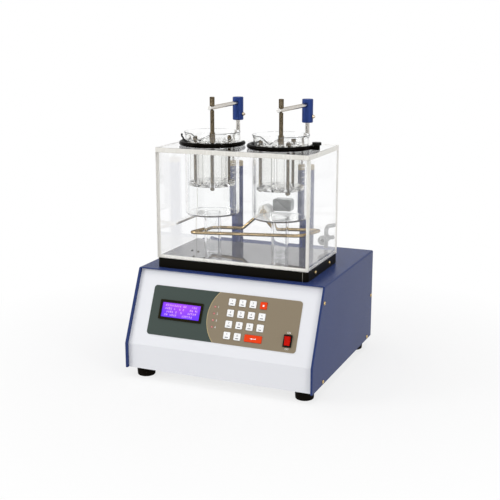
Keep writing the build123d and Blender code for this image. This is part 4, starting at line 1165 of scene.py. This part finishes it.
# Probe and drain
# A thin stainless sensor rod in a gland, and a moulded drain elbow with its nut inside.
drain_grey = moulded("drain_grey", (0.2, 0.2, 0.2), (0.3, 0.3, 0.3), roughness=0.3, gloss=0.2)
dress(stainless, "temperature_probe")
dress(drain_grey, "drain_fitting")


# Beakers
# Low beakers blown from borosilicate glass: a thin wall, a rounded foot, a flared rim, and
# a wide spout drawn down at the front.
beaker_radius = 0.0525
beaker_wall = 0.0024
beaker_foot_round = 0.005
lip_reach = 0.0028
lip_rise = 0.007
foot_steps = 8
wall_steps = 14
lip_steps = 4
beaker_steps = 168
spout_depth = 0.022
spout_reach = 0.0062
spout_droop = 0.0115
spout_half_turn = 0.42
spout_sharpness = 1.35
spout_start = 1.5
glass_ior = 1.47
glass_tint = (0.985, 0.992, 0.985)
# The beakers' walls darken to this olive painted shade where they are seen edge on.
beaker_edge_shade = (0.25, 0.27, 0.19)
beaker_low, beaker_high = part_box("beakers")
beaker_height = beaker_high.z - beaker_low.z


def beaker_outline():
    """Out along the foot, up the outside, over the rim and down the inside."""
    inner_round = beaker_foot_round - beaker_wall
    foot_middle = beaker_radius - beaker_foot_round
    outline = [(0.0, 0.0)]
    outline += arc((foot_middle, beaker_foot_round), beaker_foot_round, -90, 0, foot_steps)
    start = beaker_height - spout_depth
    lip = beaker_wall / 2
    levels = [start + (beaker_height - lip - start) * i / wall_steps for i in range(wall_steps + 1)]
    flares = [lip_reach * max(0.0, (z - beaker_height + lip_rise) / lip_rise) ** 2 for z in levels]
    outline += [(beaker_radius + flare, z) for z, flare in zip(levels, flares)]
    rim_middle = (beaker_radius + flares[-1] - lip, levels[-1])
    outline += arc(rim_middle, lip, start=30, end=150, steps=lip_steps)
    inside = [(beaker_radius - beaker_wall + flare, z) for z, flare in zip(levels, flares)]
    outline += inside[::-1]
    outline += arc((foot_middle, beaker_foot_round), inner_round, 0, -90, foot_steps)
    outline.append((0.0, beaker_wall))
    return outline


def poured(place):
    """Draws the rim out and down at the front, into the spout."""
    turn = math.atan2(place.x, -place.y)
    near = max(0.0, 1.0 - abs(turn) / spout_half_turn) ** spout_sharpness
    lift = max(0.0, (place.z - beaker_height + spout_depth) / spout_depth)
    pull = near * lift**spout_start
    out = Vector((place.x, place.y, 0.0)).normalized()
    return place + out * spout_reach * pull - Vector((0.0, 0.0, spout_droop * pull))


beaker_glass = glass("beaker_glass", glass_tint, glass_ior, beaker_edge_shade)
for side, x in stations.items():
    beaker = turned(beaker_outline(), beaker_steps)
    for corner in beaker.vertices:
        corner.co = poured(corner.co)
    shifted(beaker, x, station_y, beaker_low.z + bond_gap)
    replaced = ["beakers"] if side == "left" else []
    piece("beaker_" + side, beaker, [beaker_glass], "cabinet", "beaker_glass", *replaced)


# Beaker marks
# Short level lines and plain numbers in white enamel, fired on at the right of each beaker.
mark_turn = math.radians(-15)
mark_count = 7
mark_rise = 0.0088
mark_first_drop = 0.093
mark_length = 0.011
mark_short_share = 0.55
mark_line = 0.0007
mark_proud = 0.00006
mark_number_height = 0.0046
mark_number_gap = 0.0095
mark_steps = 9
mark_millilitres = 50
first_mark = 2

marks = Layout("beaker_marks")
mark_radius = marks.size("Radius", "Float")
line_length = marks.size("Line length", "Float")
line_points = marks.add("GeometryNodeMeshLine", {"mode": "OFFSET"}, {
    "Count": marks.size("Count", "Int"),
    "Offset": marks.vector(y=marks.size("Rise", "Float")),
})
line_strip = marks.add("GeometryNodeMeshGrid", {}, {
    "Size X": line_length,
    "Size Y": marks.size("Line width", "Float"),
    "Vertices X": mark_steps,
    "Vertices Y": 2,
})
is_short = marks.add("GeometryNodeInputIndex") % 2
line_share = 1.0 - is_short * (1.0 - mark_short_share)
line_copies = marks.add("GeometryNodeInstanceOnPoints", {}, {
    "Points": line_points,
    "Instance": line_strip,
    "Scale": marks.vector(line_share, 1.0, 1.0),
})
flat_lines = marks.add("GeometryNodeRealizeInstances", {}, {"Geometry": line_copies})
flat_across, flat_up = marks.apart(marks.add("GeometryNodeInputPosition"))[:2]
wrap_turn = flat_across / mark_radius + marks.size("Turn", "Float")
wrap_x = marks.one("COSINE", wrap_turn) * mark_radius
wrap_y = marks.one("SINE", wrap_turn) * mark_radius
marks.close(marks.add("GeometryNodeSetPosition", {}, {
    "Geometry": flat_lines,
    "Position": marks.vector(wrap_x, wrap_y, flat_up),
}))


def wrapped(mesh, radius, turn):
    """Bends a flat print round an upright cylinder, its X along the round and its Y upwards."""
    for corner in mesh.vertices:
        across, up, proud = corner.co
        corner.co = (*around(radius + proud, turn + across / radius), up)
    return mesh


printed_radius = beaker_radius + mark_proud
number_across = mark_number_gap + mark_length / 2
for side, x in stations.items():
    lines_mesh = marks.made({
        "Radius": printed_radius,
        "Count": mark_count,
        "Rise": mark_rise,
        "Line length": mark_length,
        "Line width": mark_line,
        "Turn": mark_turn,
        "Finish": ink_white.material,
    })
    prints = [lines_mesh]
    for i in range(0, mark_count, 2):
        number = lettering(str((i + first_mark) * mark_millilitres), mark_number_height)
        prints.append(wrapped(shifted(number, number_across, i * mark_rise), printed_radius, mark_turn))
    marks_mesh = shifted(joined(prints), x, station_y, beaker_high.z - mark_first_drop)
    piece("beaker_marks_" + side, marks_mesh, [ink_white], "cabinet", "beaker_glass")


# Beaker supports
# Short lengths of clear tube that stand on the bath's floor and carry the beakers.
support_glass = glass("support_glass", (0.97, 0.98, 0.985), acrylic_ior)
dress(support_glass, "beaker_supports")


# Clamps
# Round bar bent into open rings round the beakers and coated black. The left one ends in
# a plated bolt and holds a small lever, and the right one has a star knob.
bolt_angle = math.radians(166)
bolt_ring_radius = 0.06
bolt_reach = 0.0053
bar_rise = 0.0086
bar_top = lid_high.z + bar_rise
bolt_x, bolt_y = around(bolt_ring_radius, bolt_angle, (stations["left"], station_y))


def is_bolt(place):
    near = math.hypot(place.x - bolt_x, place.y - bolt_y) < bolt_reach
    return int(near and place.z > bar_top - merge_reach)


coated_bar = painted("coated_bar", (0.002, 0.0015, 0.001), (0.004, 0.003, 0.002), roughness=0.2, gloss=0.02)
bolt_plate = metal("bolt_plate", (0.4, 0.39, 0.36), (0.8, 0.78, 0.74), roughness=0.2)
clamp_mesh = finish_by_place(welded(nodes["beaker_clamps"].data), is_bolt)
piece("clamp_rings", clamp_mesh, [coated_bar, bolt_plate], "cabinet", "black_plastic", "beaker_clamps")
dress(coated_bar, "clamp_lever")


# Basket plates
# Discs of clear acrylic, a little duller than the bath's, with milled seats for the tubes.
plate_glass = glass("plate_glass", (0.95, 0.945, 0.935), acrylic_ior)
dress(plate_glass, "rack_plates_left", "rack_plates_right")


# Basket tubes
# Six open glass tubes to a basket, their ends seated in the plates. The wall is thin and clear,
# and where it is seen edge on it shows a painted brownish shade, a dark reflection of its surroundings.
tube_radius = 0.01245
tube_wall = 0.00175
tube_end_round = 0.0006
tube_steps = 40
tube_end_steps = 3
smear_scale = 40.0
tube_circle_radius = 0.03
tube_count = 6
tube_clear = (0.985, 0.985, 0.98)
tube_edge_shade = (0.3, 0.265, 0.21)
edge_power = 5.0
edge_share = 0.85
wall_share = 0.03
rack_turns = {"left": math.radians(-65), "right": math.radians(-48)}

tube_glass = Finish("tube_glass", {
    "Base Color": tube_edge_shade,
    "Specular Tint": tube_edge_shade,
    "Metallic": 1.0,
})
tube_smear = tube_glass.noise(smear_scale, detail=2.0)
tube_glass.roughen(tube_smear, least=0.05, spread=0.08)
tube_share = tube_glass.edge_on() ** edge_power * edge_share + tube_smear * wall_share
tube_wall_clear = tube_glass.add("ShaderNodeBsdfTransparent", {}, {"Color": tube_clear})
tube_glass.show(tube_share, tube_wall_clear, tube_glass.solid())
for side, x in stations.items():
    node = "glass_tubes_" + side
    tube_low, tube_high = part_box(node)
    tube_length = tube_high.z - tube_low.z
    end_middle = tube_radius - tube_end_round
    outline = [(tube_radius - tube_wall, 0.0)]
    outline += arc((end_middle, tube_end_round), tube_end_round, -90, 0, tube_end_steps)
    outline += arc((end_middle, tube_length - tube_end_round), tube_end_round, 0, 90, tube_end_steps)
    outline += [(tube_radius - tube_wall, tube_length)]
    turns = [rack_turns[side] + 2 * math.pi * (i + 0.5) / tube_count for i in range(tube_count)]
    places = [(*around(tube_circle_radius, turn, (x, station_y)), tube_low.z) for turn in turns]
    tubes = set_out(turned(outline, tube_steps), tube_glass, places)
    piece("basket_tubes_" + side, tubes, [tube_glass], "basket_" + side, "tube_glass", node)


# Basket rods
# Threaded stainless rods: three tie the plates, and a thicker one in the middle hangs from
# the arm. The thread is too fine to count, so it is a bump along the rod.
thread_pitch = 0.0011
thread_depth = 0.0003
# The rods' dark brown tone is painted shade, for the darker surroundings they would reflect; it runs in
# darker and lighter streaks along them.
rod_dark = (0.055, 0.04, 0.021)
rod_light = (0.22, 0.178, 0.12)
streak_scale = 800.0
streak_grain = (1, 1, 0.2)
rod_steel = Finish("rod_steel", {"Metallic": 1.0, "Specular Tint": painted_dark_edge})
rod_streaks = rod_steel.noise(streak_scale, detail=3.0, vector=rod_steel.stretched(streak_grain))
rod_height = rod_steel.apart(rod_steel.place())[2]
thread = rod_steel.one("SINE", rod_height * (2 * math.pi / thread_pitch))
rod_steel.colour(rod_steel.ramp(rod_streaks, low=0.25, high=0.75), rod_dark, rod_light)
rod_steel.roughen(rod_streaks, least=0.18, spread=0.2)
rod_steel.bump(thread, strength=0.5, distance=thread_depth)
dress(rod_steel, "hanger_rod_left", "hanger_rod_right", "tie_rods_left", "tie_rods_right")


# Wire nets
# Woven stainless wire cloth under each lower plate, which keeps the tablets in the tubes.
net_radius = 0.0425
net_pitch = 0.00263
net_wire = 0.00016
net_wave = 0.0002
net_sides = 5
net_points_per_pitch = 3
net_steel = metal("net_steel", (0.6, 0.58, 0.54), (0.92, 0.9, 0.86), roughness=0.3, scale=drawn_scale)

cloth = Layout("wire_cloth")
cloth_sizes = ("Radius", "Pitch", "Wire radius", "Wave")
cloth_radius, cloth_pitch, cloth_wire, cloth_wave = [cloth.size(name, "Float") for name in cloth_sizes]
cloth_count, cloth_steps = [cloth.size(name, "Int") for name in ("Wires", "Steps")]


def laid_wires(sign, turn):
    """Parallel wires that wave over and under the wires that cross them."""
    rows = cloth.add("GeometryNodeMeshLine", {"mode": "OFFSET"}, {
        "Count": cloth_count,
        "Start Location": cloth.vector(y=(1.0 - cloth_count) * cloth_pitch * 0.5),
        "Offset": cloth.vector(y=cloth_pitch),
    })
    straight = cloth.add("GeometryNodeCurvePrimitiveLine", {}, {
        "Start": cloth.vector(0.0 - cloth_radius),
        "End": cloth.vector(cloth_radius),
    })
    wire = cloth.add("GeometryNodeResampleCurve", {}, {"Curve": straight, "Count": cloth_steps})
    copies = cloth.add("GeometryNodeInstanceOnPoints", {}, {"Points": rows, "Instance": wire})
    wires = cloth.add("GeometryNodeRealizeInstances", {}, {"Geometry": copies})
    x, y = cloth.apart(cloth.add("GeometryNodeInputPosition"))[:2]
    outside = cloth.one("SQRT", x * x + y * y) > cloth_radius
    kept = cloth.add("GeometryNodeDeleteGeometry", {}, {"Geometry": wires, "Selection": outside})
    wave = cloth.one("COSINE", x * math.pi / cloth_pitch) * cloth.one("COSINE", y * math.pi / cloth_pitch)
    waved = cloth.add("GeometryNodeSetPosition", {}, {
        "Geometry": kept,
        "Offset": cloth.vector(z=wave * cloth_wave * sign),
    })
    return cloth.add("GeometryNodeTransform", {}, {"Geometry": waved, "Rotation": (0.0, 0.0, turn)})


both_ways = cloth.add("GeometryNodeJoinGeometry", {}, {
    "Geometry": [laid_wires(1.0, 0.0), laid_wires(-1.0, math.pi / 2)],
})
wire_section = {"Resolution": net_sides, "Radius": cloth_wire}
cloth.close(cloth.add("GeometryNodeCurveToMesh", {}, {
    "Curve": both_ways,
    "Profile Curve": cloth.add("GeometryNodeCurvePrimitiveCircle", {}, wire_section),
    "Fill Caps": True,
}))

wire_count = 2 * int(net_radius / net_pitch) + 1
for side, x in stations.items():
    node = "wire_net_" + side
    net_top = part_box(node)[1].z
    net = cloth.made({
        "Radius": net_radius,
        "Pitch": net_pitch,
        "Wire radius": net_wire,
        "Wave": net_wave,
        "Wires": wire_count,
        "Steps": net_points_per_pitch * wire_count,
        "Finish": net_steel.material,
    })
    middle = Matrix.Translation((x, station_y, net_top - net_wave - net_wire))
    net.transform(middle @ Matrix.Rotation(rack_turns[side], 4, "Z"))
    piece("woven_net_" + side, net, [net_steel], "basket_" + side, "stainless", node)
